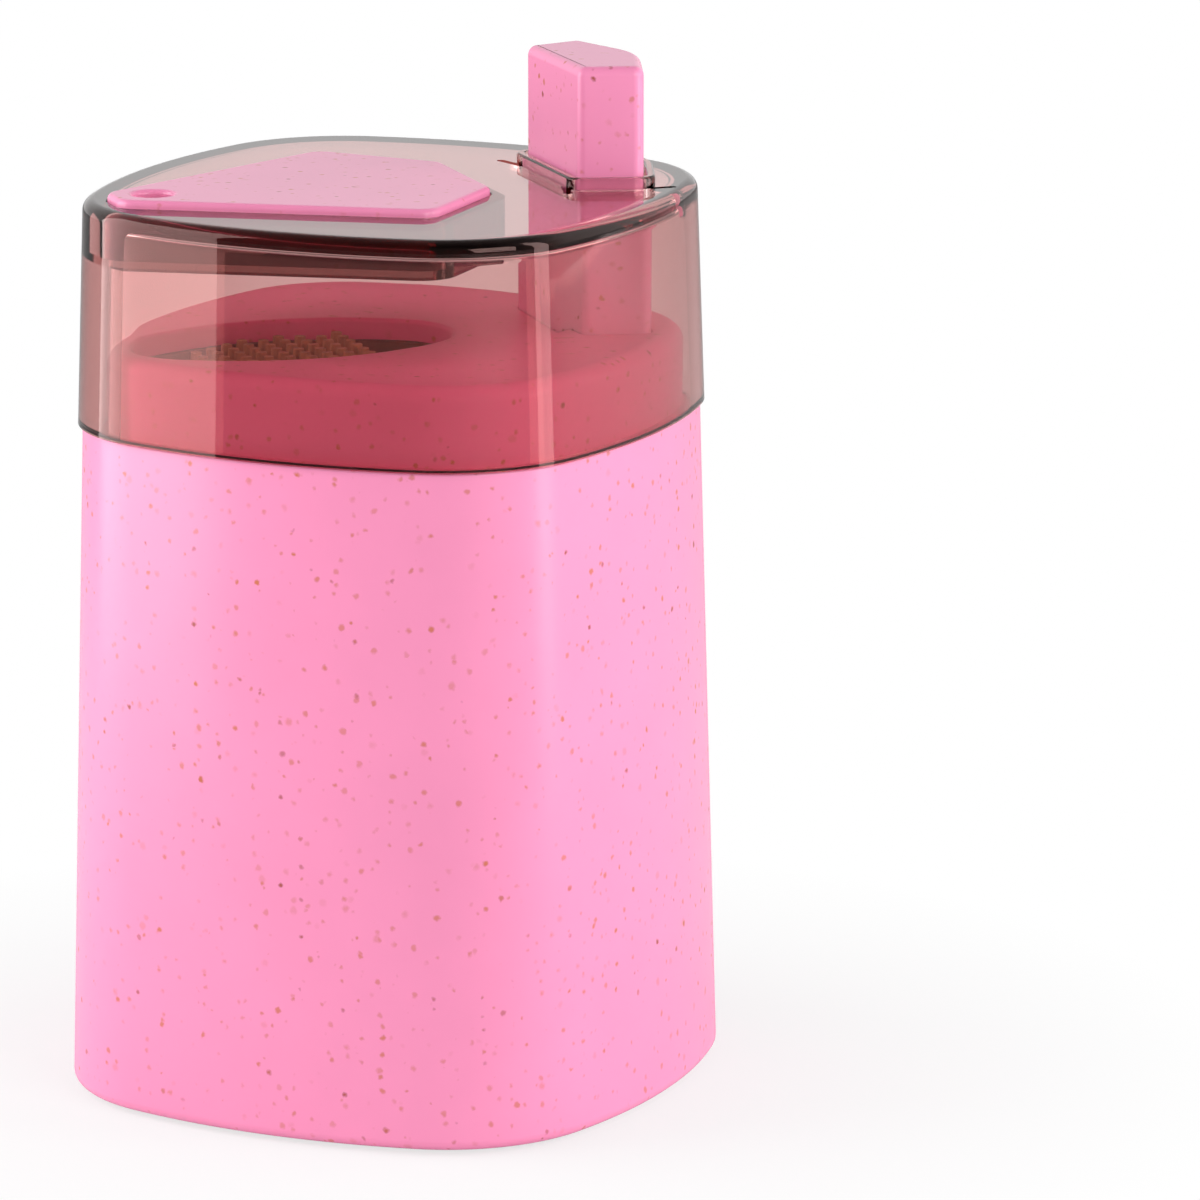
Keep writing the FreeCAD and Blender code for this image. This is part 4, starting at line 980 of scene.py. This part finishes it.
class DISPENSER_OT_stage(bpy.types.Operator):
    """Make the floor, the lamps, the world and the camera"""
    bl_idname = "dispenser.stage"
    bl_label = "Stage"

    def execute(self, context):
        stage = settings("stage")
        scene = context.scene
        self.make_world(scene, stage)
        self.make_floor()
        right = Vector((math.cos(stage.azimuth), -math.sin(stage.azimuth), 0.0))
        ahead = Vector((math.sin(stage.azimuth), math.cos(stage.azimuth), 0.0))
        centre = Vector((0.0, 0.0, 0.05))
        for name, bearing, width, watts in (
                ("left strip", stage.left_bearing, stage.left_width, stage.left_strip),
                ("right strip", stage.right_bearing, stage.right_width, stage.right_strip)):
            away = right * math.sin(bearing) - ahead * math.cos(bearing)
            foot = away * stage.strip_distance
            rise = Vector((0.0, 0.0, stage.strip_height / 2))
            area_lamp(name, foot + rise, rise, width, stage.strip_height, watts)
        for name, (across, away, above), size, watts, mirrored_too in (
                ("front softbox", FRONT_PLACE, 0.5, stage.front, True),
                ("right fill", FILL_PLACE, 0.4, stage.right_fill, False)):
            place = centre + right * across + ahead * away + Vector((0.0, 0.0, above))
            area_lamp(name, place, centre, size, size, watts, mirrored_too)
        aim = right * stage.aim_right + Vector((0.0, 0.0, stage.aim_height))
        sight = ahead * math.cos(stage.elevation) - Vector((0.0, 0.0, math.sin(stage.elevation)))
        camera = bpy.data.cameras.new("camera")
        camera.lens = stage.lens
        camera.sensor_width = 36.0
        camera.clip_start = 0.01
        holder = bpy.data.objects.new("camera", camera)
        holder.location = aim - sight * stage.distance
        holder.rotation_euler = sight.to_track_quat("-Z", "Y").to_euler()
        scene.collection.objects.link(holder)
        scene.camera = holder
        scene.view_settings.view_transform = "Standard"
        return {"FINISHED"}

    def make_world(self, scene, stage):
        """Even light on the object, a white backdrop, and dimmer reflections of the room and the ceiling."""
        world = bpy.data.worlds.new("studio")
        world.use_nodes = True
        tree = Tree(world.node_tree)
        path = tree.add("ShaderNodeLightPath").outputs
        direction = tree.coordinates("Generated")
        height = tree.add("ShaderNodeSeparateXYZ", {0: direction}).outputs["Z"]
        sky = tree.between(height, stage.fill * 1.15, stage.fill * 0.25)
        either = tree.math("MAXIMUM", path["Is Camera Ray"], path["Is Glossy Ray"])
        seen = tree.math("MAXIMUM", either, path["Is Transmission Ray"])
        level = tree.between(seen, sky, 1.0)
        ahead = (math.sin(stage.azimuth), math.cos(stage.azimuth), 0.0)
        side = tree.add("ShaderNodeVectorMath", {0: direction, 1: ahead},
                        operation="DOT_PRODUCT").outputs["Value"]
        room = tree.between(side, stage.room, 1.0, start=-0.5, end=0.3)
        overhead = tree.between(height, 1.0, stage.ceiling, start=0.55, end=0.85)
        mirrored = tree.math("MULTIPLY", room, overhead)
        level = tree.mix(path["Is Glossy Ray"], level, mirrored, "FLOAT")
        bounced = tree.math("MINIMUM", path["Diffuse Depth"], 1.0)
        under_lid = tree.math("MULTIPLY", path["Is Transmission Ray"], bounced)
        tree.fill(world.node_tree.nodes["Background"], {
            "Color": (1.0, 1.0, 1.0),
            "Strength": tree.mix(under_lid, level, stage.lid_fill, "FLOAT"),
        })
        scene.world = world

    def make_floor(self):
        """A pale floor that the camera sees as white, but for the soft shade round the object's foot."""
        half = 1.5
        corners = [(-half, -half, 0), (half, -half, 0), (half, half, 0), (-half, half, 0)]
        floor = mesh_object("floor", corners, [(0, 1, 2, 3)])
        material, tree, shader = new_material("pale floor")
        tree.fill(shader, {"Base Color": (0.86, 0.86, 0.86), "Roughness": 0.9, "Specular IOR Level": 0.0})
        glow = tree.add("ShaderNodeEmission").outputs["Emission"]
        distance = tree.add("ShaderNodeVectorMath", {0: tree.coordinates()},
                            operation="LENGTH").outputs["Value"]
        reach = tree.between(distance, 0.72, 1.0, start=0.035, end=0.09)
        path = tree.add("ShaderNodeLightPath").outputs
        seen = tree.math("MAXIMUM", path["Is Camera Ray"], path["Is Transmission Ray"])
        surface = tree.add("ShaderNodeMixShader", {0: tree.math("MULTIPLY", seen, reach),
                                                   1: shader.outputs["BSDF"], 2: glow}).outputs["Shader"]
        tree.fill(tree.tree.nodes["Material Output"], {"Surface": surface})
        floor.data.materials.append(material)


class DISPENSER_PT_sidebar(bpy.types.Panel):
    """Sizes, colours and making of the dispenser"""
    bl_idname = "DISPENSER_PT_sidebar"
    bl_label = "Toothpick dispenser"
    bl_space_type = "VIEW_3D"
    bl_region_type = "UI"
    bl_category = "Dispenser"

    def draw(self, context):
        layout = self.layout
        for operator in OPERATORS:
            layout.operator(operator.bl_idname)
        for group, properties in GROUPS.items():
            box = layout.box()
            values = getattr(context.scene, group)
            for name in properties.__annotations__:
                box.prop(values, name, text=name.replace("_", " ").capitalize())


OPERATORS = (
    DISPENSER_OT_body,
    DISPENSER_OT_neck,
    DISPENSER_OT_lid,
    DISPENSER_OT_petal,
    DISPENSER_OT_post,
    DISPENSER_OT_picks,
    DISPENSER_OT_spring,
    DISPENSER_OT_inner_finishes,
    DISPENSER_OT_stage,
)


def register():
    for owner in (*GROUPS.values(), *OPERATORS, DISPENSER_PT_sidebar):
        bpy.utils.register_class(owner)
    for name, group in GROUPS.items():
        setattr(bpy.types.Scene, name, bpy.props.PointerProperty(type=group))


def unregister():
    for name in GROUPS:
        delattr(bpy.types.Scene, name)
    for owner in reversed((*GROUPS.values(), *OPERATORS, DISPENSER_PT_sidebar)):
        bpy.utils.unregister_class(owner)


def main():
    register()
    bpy.ops.dispenser.body()
    bpy.ops.dispenser.neck()
    bpy.ops.dispenser.lid()
    bpy.ops.dispenser.petal()
    bpy.ops.dispenser.post()
    bpy.ops.dispenser.picks()
    bpy.ops.dispenser.spring()
    bpy.ops.dispenser.inner_finishes()
    bpy.ops.dispenser.stage()


if __name__ == "__main__":
    main()
